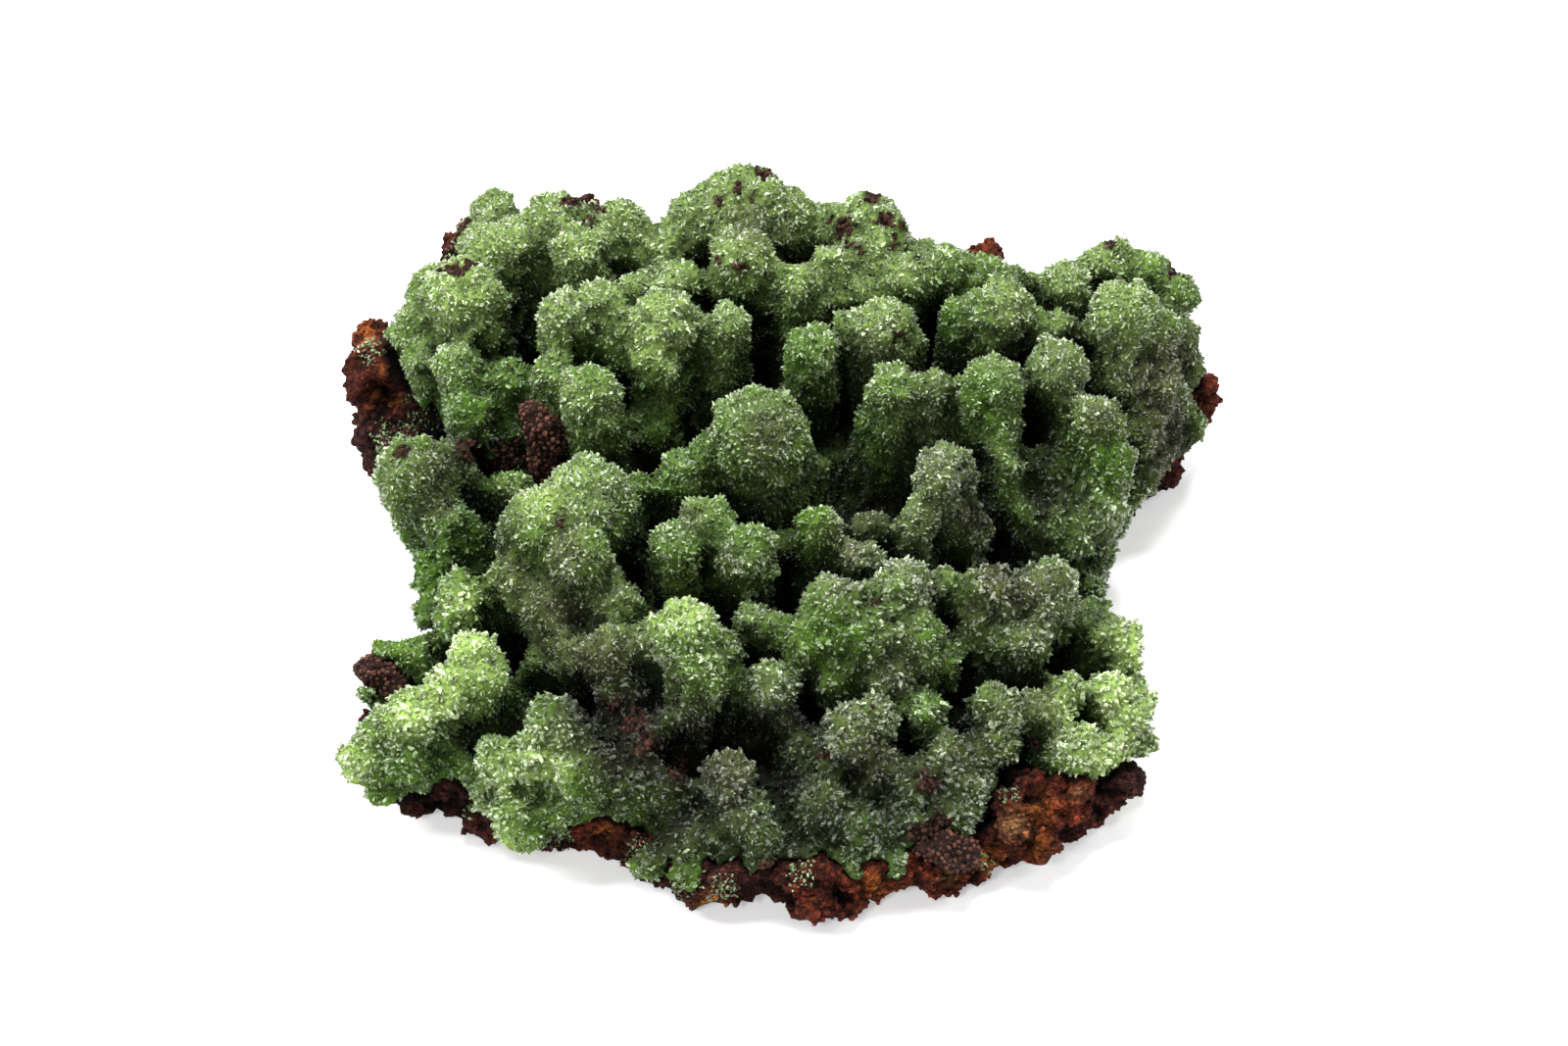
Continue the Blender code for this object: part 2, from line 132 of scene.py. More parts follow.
# How high the noises and cells stand, and how far the druse is drawn in for them.
LOBE_HEIGHT = 0.9
BUD_HEIGHT = 0.85
ROUGH_HEIGHT = 0.6
RELIEF_SETTLE = 0.1
ROCK_CELL_HEIGHT = 0.4
RIDGE_HEIGHT = 1.5
GRIT_HEIGHT = 0.7
KNOB_CELL_HEIGHT = 0.25

# How open the surface is to the sky: the parts that the sky is taken in, the cells that the view
# from each is read in, and how far below the nearest point is still lit, and then fades to dark.
SKY_PARTS = 56
SKY_CELL = 1.1
SKY_SLACK = 0.7
SKY_FADE = 2.5

# How many times the surface is evened out to find what stands out from it, and how soon that is
# taken as a crest on the druse and on the rock. Crests are painted lighter and hollows painted darker.
BULGE_ROUNDS = 12
DRUSE_CREST = 0.7
ROCK_CREST = 1.0

# The layers of numbers and colours that the materials and the scattering read.
OWN_LAYERS = {"open", "hue", "size", "growth", "frost"}

# Crystals: spacing, and length and width before they are scaled, of the fine and the coarse ones,
# their root in the ground, their four corners as shares of half the width, and how far they lean.
FINE_SPACING = 0.415
FINE_LENGTH = 0.46
FINE_WIDTH = 0.58
COARSE_SPACING = 0.68
COARSE_LENGTH = 0.92
COARSE_WIDTH = 0.70
SPRINKLE_SPACING = 0.36
CRYSTAL_ROOT = 0.30
CORNERS = [(-1.1, 0), (0, -0.9), (1.1, 0), (0, 0.9)]
CRYSTAL_LEAN = math.radians(45)

# Chisel-tipped crystals: the prism's share of the length, the tip's length as a share of the
# width, and the narrowing up to the shoulder.
FINE_CHISELS = {"chisel": (0, 0.7, 1), "wedge": (0, 0.4, 1)}
COARSE_CHISELS = {"blade": (0.55, 0.5, 0.95), "stout": (0.7, 0.7, 0.9), "spear": (0.4, 0.1, 1)}

# Where the fine crystals are split into pieces: the back above, the front below, and the sides.
BACK_ABOVE = 24
FRONT_BELOW = -10
LEFT_TO = -14
RIGHT_FROM = 22

# What a scatter takes where it isn't told otherwise, and the most points it tries per square metre.
SCATTER_INPUTS = {
    "Spacing": FINE_SPACING * MM,
    "Lean": CRYSTAL_LEAN,
    "Smallest": 0.65,
    "Largest": 1.25,
    "Seed": 1,
}
DENSEST = 4.0e6

# The sockets of a Random Value node for the least and the most, and its output, by kind of value.
RANDOM_SOCKETS = {"FLOAT_VECTOR": (0, 1, 0), "FLOAT": (2, 3, 1), "INT": (4, 5, 2)}

# Where nothing grows on the druse: nearer to the rock than BARE_EDGE, or on what turns down.
BARE_EDGE = 0.5
DRUSE_UNDERSIDE = -0.55
DEEP_SHADE = 0.05
DEEP_SHADE_GROWTH = 0.5

# Where crumbs lie on the rock: where it is open enough, above the ground and not turned down.
CRUMBS_FROM = 0.1
CRUMBS_RISE = 0.2
CRUMBS_ABOVE = 0.8
ROCK_UNDERSIDE = -0.6

# Crumbs of rock, and the granules that the goethite knobs and specks are built from: how far apart
# they sit, how wide they are, and how uneven. SPECK_OPENNESS is how light the specks are.
CRUMB_SPACING = 1.1
CRUMB_WIDTH = 1.0
GRANULE_SPACING = 0.62
SPECK_SPACING = 0.42
GRANULE_WIDTH = 0.85
GRAIN_SHAPES = 4
GRAIN_DENTS = 0.4
GRAIN_UNEVENNESS = 0.45
SPECK_OPENNESS = 0.38

# The lumps and fingers of the druse, as in the CAD: (across, up, height of the tip's centre, radius).
BACK_CREST = [
    (-40, 42.8, 26, 3.3), (-42.3, 38.8, 25, 3), (-40, 37, 27, 4.2), (-35.8, 38.3, 26, 3.9),
    (-31.2, 41, 27, 4.2), (-27.5, 40.8, 26, 3.2), (-28, 37.2, 29, 3.7), (-22.5, 40.1, 28, 4.2),
    (-16.5, 36.8, 27, 3.4), (-11.5, 41.3, 28, 4.6), (-5.5, 42.4, 30, 6.8), (-0.5, 41.4, 28, 5),
    (-5.5, 36, 31, 4.2), (-14, 33, 28, 2.7), (6.5, 40.3, 27, 3.8), (11.8, 40, 28, 5),
    (13.7, 36.3, 27, 4), (6.7, 35.3, 29, 2.6), (2, 32.4, 29, 3), (17, 33, 28, 3.2),
    (19.3, 36.5, 25, 2.6), (22.5, 35, 28, 3.8), (28.3, 33.6, 27, 3.6), (32.5, 33.2, 24, 2.6),
    (6, 30.4, 26, 2.4), (10.5, 31.2, 26, 2.4),
]
RIGHT_SHOULDER = [
    (38.5, 32.4, 26, 4), (41.8, 34.8, 24, 2.8), (45.5, 36.2, 25, 3.6), (50, 34.3, 24, 3.4),
    (54, 31.4, 23, 3.4), (46.5, 28.2, 29, 5.3), (50.5, 26, 25, 4.4), (54.3, 25.3, 21, 3.5),
    (55.6, 21.4, 17, 2.9), (36.5, 26.2, 27, 3.2), (37, 20.7, 28, 4.6), (46, 19.5, 22, 4.4),
    (51, 18.5, 20, 4.4), (54, 16, 15, 3), (48.5, 12.5, 17, 3.7), (51.8, 11, 13, 3.1),
    (57, 13.2, 11, 1.8), (49.3, 6.6, 11, 2.7),
]
RIGHT_FINGERS = [
    (29.8, 29.2, 30, 4.7), (24.3, 28, 27, 3.5), (13.5, 26.4, 30, 4.7), (8.8, 26.3, 28, 3),
    (17.3, 24.6, 27, 2.8), (3.7, 22.8, 29, 4.2), (28.2, 18.4, 31, 4.6), (15.3, 18, 29, 4.2),
    (20.4, 17.6, 28, 3.6), (12.5, 14, 22, 3.3), (22, 6.3, 28, 4.7), (25, -0.5, 20, 3.6),
    (30.8, 8, 23, 3.4), (42.2, 13.7, 27, 4.2), (44.2, 8.4, 23, 4), (43, 2.5, 18, 3.8),
    (36, 7, 20, 4.1), (35, 0.5, 17, 4.4), (39.5, -2, 15, 3.5), (45.6, 0.6, 11, 2.5),
    (43, -4.5, 11, 2.5), (41.8, -8.5, 10, 2.3),
]
CENTRE = [
    (-3.2, 11.6, 28, 7.3), (-9, 9, 24, 4.2), (-13.3, 6.4, 23, 4.1), (-16.6, 4.6, 20, 2.8),
    (2.5, 7, 19, 3.8), (-10.5, -0.5, 25, 4.4), (-14.5, -3, 26, 3.9), (-5, -4, 25, 4.3),
    (0.2, -3.6, 18, 3), (4.7, -0.6, 24, 3.6), (11.7, -0.6, 21, 2.8), (17.8, 0, 24, 3),
    (10.6, -4.8, 23, 3.1), (9, 8, 13, 3.8),
]
LEFT_MASS = [
    (-26.3, 3, 28, 6.4), (-33, -0.6, 25, 5.8), (-22.8, 1.5, 25, 3.8), (-19.8, 4.8, 24, 2.3),
    (-35.2, -7, 20, 4.8), (-27, -4.2, 27, 4.5), (-31, -11, 18, 5.7), (-25.5, -9.5, 20, 3.8),
    (-22, -11, 21, 3.8), (-33, -19, 13, 2.6), (-28, -17.6, 17, 3.5), (-23, -17.4, 21, 4.2),
]
UPPER_LEFT = [
    (-43.8, 30.8, 26, 6), (-48, 31.6, 23, 3.8), (-50.5, 26.2, 20, 4.1), (-50.2, 22.3, 20, 2.9),
    (-44.8, 21.4, 23, 3.6), (-43, 14.4, 20, 4.1), (-37.5, 19, 20, 3.9), (-38, 12, 15, 3.4),
    (-30, 28, 29, 4.1), (-25, 30, 29, 3.7), (-20, 31.7, 27, 2.9), (-16.5, 27.4, 30, 5),
    (-23.5, 24, 25, 3.1), (-17.5, 22, 26, 3.7), (-7.9, 26.6, 29, 3.7), (-8, 20.5, 22, 3.1),
    (-26.2, 17.4, 28, 4.6), (-31.2, 20.1, 25, 3.5), (-18, 13, 17, 4.2), (-50.2, 6.3, 20, 5.7),
    (-45.5, 7.6, 19, 3.8), (-45.4, -0.5, 16, 3.9), (-42.5, -3, 13, 3.8), (-47, -7, 12, 3.5),
    (-47.5, -12, 10, 2.9), (-37, 4.6, 17, 3.2),
]
LOWER_LEFT = [
    (-43.5, -9.3, 19, 3.3), (-44.3, -13.2, 16, 3.2), (-53.4, -17.4, 13, 2.3), (-49.5, -17.8, 13, 2.7),
    (-41.3, -17.8, 20, 3.7), (-39.6, -21.5, 18, 3.5), (-44.5, -22.3, 18, 3.9), (-49.3, -26, 16, 4.3),
    (-53.5, -28.4, 13, 4), (-56.3, -31.8, 10, 3.5), (-50.5, -31, 12, 4), (-46, -29, 12, 3),
    (-56.2, -23, 11, 1.8), (-53.8, -36.2, 7, 2.1), (-38, -31.6, 14, 3.7), (-33.5, -31, 15, 3.7),
    (-42.8, -32.6, 10, 2.1), (-39.8, -36.8, 8.5, 2.6), (-36, -39.2, 9, 3.5), (-34, -42.4, 6.5, 2.3),
    (-30.3, -26.5, 18, 4.3), (-26, -33.5, 14, 5), (-21, -35.5, 12, 4.2), (-30, -38, 9, 3.4),
    (-21.5, -23, 16, 4.2), (-19, -29, 14, 4.4), (-15.5, -36, 11, 3.8),
]
FRONT = [
    (-13, -14.6, 25, 5.1), (-17.3, -15.5, 22, 3.3), (-11.5, -20, 22, 4.7), (-12.5, -25, 18, 3.7),
    (-8.2, -17, 22, 3.1), (-4, -13.2, 21, 3.2), (0.3, -14.5, 21, 3.2), (-1.6, -22, 20, 3.9),
    (-7.4, -33.4, 16, 3.8), (-5, -39, 12, 3.7), (-3, -43, 9, 3.5), (-11, -42, 9, 3.5),
    (-12.5, -46.8, 6.5, 2.8), (-18, -45.2, 6.5, 2.8), (-7, -47.6, 6, 2.3), (2.5, -30, 13, 3.8),
    (5, -37.5, 11, 4.5), (10.5, -41, 9, 4.3), (17, -41, 8.5, 3.7), (3, -44.8, 7, 3.1),
    (8.5, -45.9, 6.5, 2.3), (14.5, -45.7, 6.5, 2.3), (24.3, -45.5, 6, 1.6), (27, -45.8, 5, 1.6),
]
FRONT_RIGHT = [
    (15.5, -9, 26, 4.5), (6.5, -11, 25, 4.5), (3.7, -15.8, 22, 4.1), (10.5, -14.8, 23, 4.5),
    (17, -15.2, 22, 4.7), (20.5, -18.5, 18, 3.5), (14, -20, 19, 4.1), (7.5, -20.5, 18, 3.7),
    (22.3, -8.5, 23, 2.9), (28, -8.8, 24, 3.7), (35.3, -9, 23, 4.8), (26, -13.8, 20, 3.1),
    (32, -16.2, 19, 3.9), (37.8, -13, 16, 2.9), (44.3, -15.6, 15, 3.8), (42.2, -12.3, 14, 2.4),
    (46.3, -19.5, 13, 2.5), (38, -21.8, 17, 2.5), (43.5, -22.8, 15, 3.2), (36, -25.2, 15, 2.9),
    (46, -26.5, 12, 2.7), (38.5, -31, 12, 4.3), (43.3, -30, 11, 3.3), (48, -24.3, 11, 2.5),
    (48, -29.5, 9, 2.5), (28, -24, 18, 3.3), (32.7, -24.7, 16, 2.9), (28, -29.5, 14, 3.5),
    (22, -30.6, 15, 3.2), (19, -25, 17, 3.1), (8.7, -27.8, 19, 3.9), (12, -25.8, 19, 3.3),
    (12.5, -32, 14, 3.5), (17.5, -35, 12, 3.9), (24.5, -35.5, 11, 3.7), (22.5, -38.5, 9.5, 3.6),
]
# The long front sides of two fingers, which the CAD leaves to their stems.
FINGER_SIDES = [
    (28.6, 14.8, 27.5, 4), (29.1, 11.6, 25, 3.9), (29.6, 8.4, 22.5, 3.6), (30.2, 5.2, 20, 3.3),
    (30.8, 2.2, 17.5, 2.9), (31.3, -0.5, 15, 2.5), (36.9, 17.4, 26, 3.1), (37, 14.2, 23.5, 2.8),
]
LUMPS = (
    BACK_CREST + RIGHT_SHOULDER + RIGHT_FINGERS + CENTRE + LEFT_MASS + UPPER_LEFT
    + LOWER_LEFT + FRONT + FRONT_RIGHT + FINGER_SIDES
)

# Colours of the druse, as linear red, green and blue.
LEAF = (0.078, 0.135, 0.026)
LIME = (0.37, 0.46, 0.21)
PALE = (0.175, 0.220, 0.105)
DEEP = (0.045, 0.092, 0.010)
MOSS = (0.029, 0.041, 0.022)
SMOKE = (0.068, 0.064, 0.040)
GREY = (0.110, 0.125, 0.078)
SEA = (0.075, 0.105, 0.062)
DUSK = (0.016, 0.013, 0.009)
UMBER = (0.018, 0.008, 0.006)

# Crevices between the fingers and lumps, pressed in from the front: (across, up, reach, depth).
CREVICES = [
    (34.3, 14, 2.4, 1.8), (34.6, 9.5, 2.6, 2.6), (34.9, 5, 2.6, 2.6), (34.6, 0.5, 2.4, 2.2),
    (30, -4.5, 2.6, 1.6), (25.2, 8, 2.2, 2), (25.8, 3.5, 2.2, 2), (26.6, -1, 2.2, 1.6),
    (-20, -27, 3.2, 1.5), (-13.5, -30, 3, 1.5), (-3, -28.5, 2.6, 1.5), (-15, -22, 2.4, 1.2),
]

# Where the druse takes which colour: (across, up, reach) as seen from the front, laid one over
# another in this order.
ZONES = [
    (PALE, 0.85, [(-5, 41, 14), (-28, 36, 13), (12, 36, 11), (-16, 27, 7), (-40, 38, 9), (44, 34, 8)]),
    (PALE, 0.6, [(-28, 4, 5), (47, 27, 5), (30, 30, 5), (-44, 27, 7), (12, 26, 6), (-25, 17, 5)]),
    (PALE, 0.5, [(-34, -33, 7), (46, 0, 4), (28, 21, 3), (42, 16, 3), (-10, 2, 4)]),
    (GREY, 0.75, [(22, 6, 7), (37, 21, 6), (18, 0, 6), (35, -9, 7), (28, -24, 6), (9, -28, 6)]),
    (GREY, 0.75, [(-7, -34, 6), (-27, -18, 7), (10, -5, 4), (14, -20, 5), (-2, -22, 5), (12, 24, 4)]),
    (GREY, 0.7, [(-46, 4, 6), (-3, 13, 5), (-20, -9, 4), (45, -16, 4), (20, 14, 6), (-33, -14, 6)]),
    (SMOKE, 0.95, [(51, 15, 7), (52, 9, 5), (50, 20, 4), (25, 0, 4), (12, -31, 5), (28, -8, 4)]),
    (SMOKE, 0.85, [(-30, -12, 6), (-23, -18, 5), (36, -25, 4), (26, -33, 6), (-28, -19, 4), (54, 22, 4)]),
    (SMOKE, 0.8, [(5, -38, 6), (14, -37, 6), (-3, -30, 5), (8, -2, 3), (15, -20, 3), (-47, 8, 3)]),
    (DEEP, 0.75, [(28, 16, 5), (42, 10, 6), (-10, -4, 6), (10, -17, 5), (-38, 15, 6), (-45, 16, 5)]),
    (DEEP, 0.75, [(2, 23, 5), (-48, -4, 6), (-25, 22, 4), (22, 28, 4), (-34, -22, 5), (-42, 2, 5)]),
    (DEEP, 0.6, [(-26, -35, 5), (-33, -40, 4), (36, 3, 6), (-20, -38, 4), (22, -24, 4), (-8, 9, 4)]),
    (MOSS, 0.9, [(6, -40, 6), (14, -40, 6), (-2, -44, 5), (20, -36, 4), (2, -33, 4), (-8, -44, 4)]),
    (SEA, 0.9, [(7, -46, 2), (13, -45.5, 2), (17, -45, 2), (28, -38, 4), (44, -7, 4), (-4, -38, 3)]),
    (SMOKE, 0.7, [(-4, 41, 4), (-7, -33, 4), (-6, -38, 3), (52, 24, 4), (-47, 2, 3), (-36, -6, 3)]),
    (LIME, 0.95, [(-46, -23, 4), (-41, -17, 4), (-50, -26, 3), (-42.5, -10, 3), (-57, -32, 3)]),
    (LIME, 0.6, [(-13, -12, 5)]),
    (LIME, 0.95, [(45, -23, 5), (43, -31, 4), (-31, -31, 3), (47, -17, 3), (39, -25, 3)]),
    (LIME, 0.5, [(-33, 3, 4), (-36, -34, 4), (-18, 24, 4), (-44, 33, 4), (-37, -43, 3)]),
    (DEEP, 0.8, [(-49, -7, 3), (-52, -33, 4), (-47, -30, 3), (-50, -14, 2), (-45, -33, 3)]),
    (DUSK, 1, [(-19, -25, 7), (-22, -31, 6), (-14, -32, 6), (-26, -24, 4), (3, -26, 4)]),
    (DUSK, 0.9, [(-13, -39, 5), (54, 12, 3), (-11, -27, 4), (0, -35, 3), (-17, -43, 4), (-4, -27, 3)]),
    (SMOKE, 0.8, [(36, -8, 3), (31, -9, 3), (-12, 1, 2), (-2, 12, 3), (11, 1, 3), (42, 14, 3)]),
    (SMOKE, 0.8, [(-29, -3, 3)]),
    (DUSK, 0.7, [(10, -33, 3), (1, -45, 3), (24, -27, 3), (-43, 10, 4), (31, -19, 3), (-3, -48, 3)]),
    # Painted shade: the near-black spots in this row and the next lie in the crevices between the right
    # fingers.
    (DUSK, 0.9, [(34.5, 13, 2.2), (34.8, 8, 2.6), (35, 3, 2.6), (29.5, -4, 3), (25.3, 6, 2)]),
    (DUSK, 0.9, [(26.5, 0.5, 2)]),
    (DUSK, 0.7, [(22, 17, 2), (38.5, 4, 2.5), (33, -3, 3), (-38, 2, 2.5), (-37, -2, 2.5), (16, 7, 2)]),
    (DEEP, 0.85, [(-47.5, -6.5, 3.5), (-48, -3, 3.5), (31, -43, 3)]),
    (GREY, 0.8, [(6.4, -8.2, 3.2), (16.3, -5.8, 3.6), (20, -9, 3), (-7, -5, 2), (17, 10, 3)]),
    (SMOKE, 0.8, [(9.2, -4.4, 2.2), (13, 2, 2), (14, -19.6, 3), (24, -13, 2.5)]),
]

# Specks of goethite that grow on the druse: (across, up, reach).
SPECKS = [
    (-22.5, -24.5, 1.5), (-20.3, -26.5, 1.7), (-18, -29, 1.5), (-14, -33, 1.5),
    (19, -34.5, 1.5), (-2, -46.5, 1.9), (33.5, -29, 0.9), (-6, 35, 0.9), (8, 41, 1.4),
    (14, 41.5, 1.2), (15, 38.5, 1), (-3, 48.5, 1.2), (12, 45, 1), (18, 36, 0.6),
    (-9, 36, 0.6), (-29.5, 44, 1.2), (-27, 41.5, 1), (-51.5, 9.8, 1.1), (-34, 9, 1.5),
    (-38, 9.5, 2), (5.5, -31, 0.7), (12, -24, 0.5), (-36, -27, 0.6), (-43, 10, 1.5),
    (18.3, -41.5, 2), (20.5, -39.8, 1.5), (45, 38, 0.8), (12.5, -10.5, 0.5), (-30, 0.3, 0.6),
    (-44.8, 41.5, 1.2), (-45.6, 39.6, 1), (-47.2, 37.2, 1.4), (-26.5, 44.2, 1.1), (-24.8, 43.6, 0.8),
    (54, 35, 1.1), (-45, 34.6, 1.1), (-43, 35.2, 0.7), (-46.5, 35, 0.6), (15.5, 25.5, 0.7),
    (-9, 44.5, 0.6), (-4, 45, 0.6), (10, 38, 0.6), (16.5, 41, 0.7), (-6.5, 46, 0.6),
]

# Green crystals that are sprinkled on the rock: (across, up, reach).
SPRINKLES = [
    (-57, 23.5, 2), (-54, 11.5, 2.6), (-49, 13.5, 3.2), (-51, 17, 1.5), (26.8, -45.7, 1.4),
    (-19, -44.5, 2.5), (-13, -47.5, 2.2), (-8, -48.5, 1.8), (56, 13.5, 1.8), (-46, 37, 1.2),
    (-42, -38.5, 1.2), (2, -46.5, 2), (30, -36, 1.5), (-30, -42, 1.8), (24, 36.5, 1.5),
]

# Colours of the rock, as linear red, green and blue.
CHOCOLATE = (0.040, 0.013, 0.010)
MAROON = (0.060, 0.012, 0.008)
RUST_RED = (0.17, 0.030, 0.010)
ORANGE = (0.38, 0.105, 0.018)
TAN = (0.24, 0.125, 0.05)
AMBER = (0.55, 0.19, 0.03)
ROCK_ZONES = [
    (RUST_RED, 0.9, [(38, -38, 7), (30, -46, 6), (15, -49, 8), (57, 18, 5), (27.5, 38, 4), (-26, -41, 4)]),
    (CHOCOLATE, 0.9, [(45.6, -34.6, 4.5), (-12, -50, 6), (33, -50, 4), (-56, 12, 5), (-40, 40, 6)]),
    (RUST_RED, 0.7, [(-55, 20, 2.5), (-57, 26, 3), (3, -50, 3), (55, 10, 3), (-44, 40, 2)]),
    (ORANGE, 0.85, [(34, -38.1, 2), (34, -42.5, 1.7), (27.3, -44.5, 1.5), (-57.5, 26, 1.6)]),
    (RUST_RED, 0.9, [(-55.3, 17.5, 2.3)]),
    (ORANGE, 0.9, [(-52.9, 16.8, 0.9), (-56.1, 17.3, 0.8), (-55, 21, 0.9)]),
    (ORANGE, 0.9, [(-24, -41, 1.5), (-9, -50, 1.6), (12, -48, 2)]),
    (TAN, 0.9, [(30.6, -40.3, 2.2), (39, -36, 1), (22, -47, 1.2)]),
    (MAROON, 0.95, [(37.6, -41.5, 1.5), (41.9, -38.5, 1.2), (38, -46, 3.5), (31, -48, 3), (42, -42, 3)]),
    (AMBER, 0.8, [(27.3, -44.3, 1), (-53.5, 17, 0.6), (-10.5, -50.3, 0.7), (33.5, -43.5, 0.7)]),
]

# Hollows in the rock, pushed in from the front, and ridges, with a depth below 0: (across, up,
# reach, depth).
PITS = [
    (30.6, -40.3, 2.2, -1.3), (36, -34.5, 1.2, -1), (36, -37, 1.2, -1.3), (35.8, -39.5, 1.1, -1.3),
    (35.2, -42.5, 1.2, -1.3), (33.6, -45.3, 1.3, -1.2), (40, -36, 1.3, -1), (41.5, -41, 1.4, -0.8),
    (33, -36.5, 1.3, 1.2), (38.5, -45, 1.3, 1), (29.5, -45, 1.3, 1), (21, -48, 1.4, 0.9),
    (37.6, -41.5, 1.4, 2.6), (41.9, -38.5, 1.1, 1.9), (-55.3, 17.4, 2.4, 2.2), (33, -40, 0.9, 0.7),
    (44, -36, 1.4, 1.2), (26, -47.5, 1.5, 1), (8, -50, 1.5, 0.9), (-47, -37.5, 1.8, 1),
]

# Where coarse crystals grow among the fine ones: (across, up, reach, share).
COARSE = [
    (-54, -31, 6, 1), (-48, -24, 5, 1), (-42, -17, 4, 1), (-36, -36, 6, 0.9), (-31, -30, 5, 0.9),
    (44, -25, 7, 1), (40, -31, 5, 1), (47, -18, 5, 1), (46, 1, 5, 0.7), (44, -8, 4, 0.9),
    (28, -34, 8, 0.9), (22, -28, 6, 0.8), (9, -28, 8, 0.8), (-7, -35, 6, 0.8), (30, -12, 8, 0.6),
    (12, -13, 9, 0.45), (0, -20, 6, 0.5), (-22, -30, 7, 0.6), (10, -40, 9, 0.6), (-13, -15, 5, 0.5),
    (-44, -9, 4, 0.6), (-13, -44, 8, 0.6), (38, 5, 6, 0.35), (-5, -8, 6, 0.3),
]

# What the materials are made of: tints and colours as linear red, green and blue, patterns as their
# scale in each metre, and bumps as their depth in metres.
# The next tint is painted shade: the deeper, darker green that the crystals turn to where little light
# reaches them.
PAINTED_SHADE_TINT = (0.7, 1.15, 0.3)
GROUND_TINT = (0.85, 1.0, 0.55)
# The next colour is painted highlight: the pale glints and sheen mixed into the lit facets and crests of
# the crystals.
PAINTED_HIGHLIGHT = (0.60, 0.67, 0.50)
RIPPLES = 3800.0
GROUND_FACETS = 2300.0
CRYSTAL_BUMP = 0.0003
RUSTY_VEIN = (0.26, 0.065, 0.015)
OCHRE_DUST = (0.18, 0.075, 0.05)
ROCK_PATCHES = 260.0
ROCK_LAYERS = 800.0
ROCK_DUST = 2400.0
ROCK_CRACKS = 330.0
CRACK_WAVER = 0.003
LAYER_FLATNESS = (1.0, 1.0, 2.5)
ROCK_BUMP = 0.0020
GOETHITE_TOP = (0.150, 0.063, 0.042)
GOETHITE_GRAINS = 1900.0
GOETHITE_BUMP = 0.0006

# The openness that is in full shade, and the openness that is in full light, for the shade that the
# materials paint into their colours.
SHADE = 0.05
LIGHT = 0.92
ROCK_LIGHT = 0.9


class Paint:
    """A material's node tree. Every node in it comes from node()."""

    def __init__(self, name):
        self.material = bpy.data.materials.new(name)
        self.material.use_nodes = True
        self.tree = self.material.node_tree
        self.tree.nodes.clear()

    def node(self, kind, settings=None, sockets=None, out=0):
        """Adds a node, settings first and then the values or links of its sockets."""
        made = self.tree.nodes.new(kind)
        for name, value in (settings or {}).items():
            setattr(made, name, value)
        for name, value in (sockets or {}).items():
            socket = made.inputs[name]
            if isinstance(value, Value):
                self.tree.links.new(value.socket, socket)
            elif isinstance(value, tuple) and socket.type == "RGBA":
                socket.default_value = (*value, 1)
            else:
                socket.default_value = value
        return Value(self, made.outputs[out]) if made.outputs else made

    def attribute(self, name, out="Fac"):
        return self.node("ShaderNodeAttribute", {"attribute_name": name}, out=out)

    def place(self):
        return self.node("ShaderNodeTexCoord", out="Object")

    def noise(self, place, scale, detail=4.0, roughness=0.7):
        sockets = {"Vector": place, "Scale": scale, "Detail": detail, "Roughness": roughness}
        return self.node("ShaderNodeTexNoise", {}, sockets, out="Fac")

    def cells(self, place, scale):
        """A random number for each cell of a cellular pattern."""
        return self.node("ShaderNodeTexVoronoi", {}, {"Vector": place, "Scale": scale}, out="Color")

    def joints(self, place, scale):
        """The distance from the joints between the cells of a cellular pattern."""
        settings = {"feature": "DISTANCE_TO_EDGE"}
        return self.node("ShaderNodeTexVoronoi", settings, {"Vector": place, "Scale": scale})

    def bent(self, place, value, reach):
        """The place moved by the value, so that a pattern read there wavers."""
        moved = self.node("ShaderNodeCombineXYZ", {}, {0: value, 1: value, 2: value})
        moved = self.scaled(moved, reach)
        return self.node("ShaderNodeVectorMath", {"operation": "ADD"}, {0: place, 1: moved})

    def between(self, value, low, high):
        """0 below low, 1 above high, and a smooth rise between them."""
        settings = {"interpolation_type": "SMOOTHSTEP"}
        sockets = {"Value": value, "From Min": low, "From Max": high}
        return self.node("ShaderNodeMapRange", settings, sockets)

    def mix(self, share, first, second):
        """first where share is 0 and second where it is 1, as colours."""
        return self.node("ShaderNodeMix", {"data_type": "RGBA"}, {0: share, 6: first, 7: second}, 2)

    def scaled(self, colour, amount):
        """The colour made lighter or darker by the amount."""
        sockets = {0: colour, "Scale": amount}
        return self.node("ShaderNodeVectorMath", {"operation": "SCALE"}, sockets)

    def tinted(self, colour, tint):
        """The colour, or the place, times the tint, channel by channel."""
        return self.node("ShaderNodeVectorMath", {"operation": "MULTIPLY"}, {0: colour, 1: tint})

    def bump(self, height, distance):
        return self.node("ShaderNodeBump", {}, {"Height": height, "Distance": distance})

    def finish(self, **sockets):
        """Ends the tree in one Principled shader. Underscores in the names stand for spaces."""
        named = {name.replace("_", " "): value for name, value in sockets.items()}
        shader = self.node("ShaderNodeBsdfPrincipled", {}, named)
        self.node("ShaderNodeOutputMaterial", {}, {"Surface": shader})
        return self.material


class Value:
    """A socket that takes part in sums as a number does."""

    def __init__(self, paint, socket):
        self.paint = paint
        self.socket = socket

    def maths(self, operation, first, second):
        return self.paint.node("ShaderNodeMath", {"operation": operation}, {0: first, 1: second})

    def __add__(self, other):
        return self.maths("ADD", self, other)

    def __mul__(self, other):
        return self.maths("MULTIPLY", self, other)

    __radd__ = __add__
    __rmul__ = __mul__


def read_rows(rows, layer, width, kind=float):
    """One layer of a mesh's points or edges, with as many numbers in each row as the width."""
    values = np.empty(len(rows) * width, kind)
    rows.foreach_get(layer, values)
    return values.reshape(-1, width)


def points_of(mesh):
    return read_rows(mesh.vertices, "co", 3)


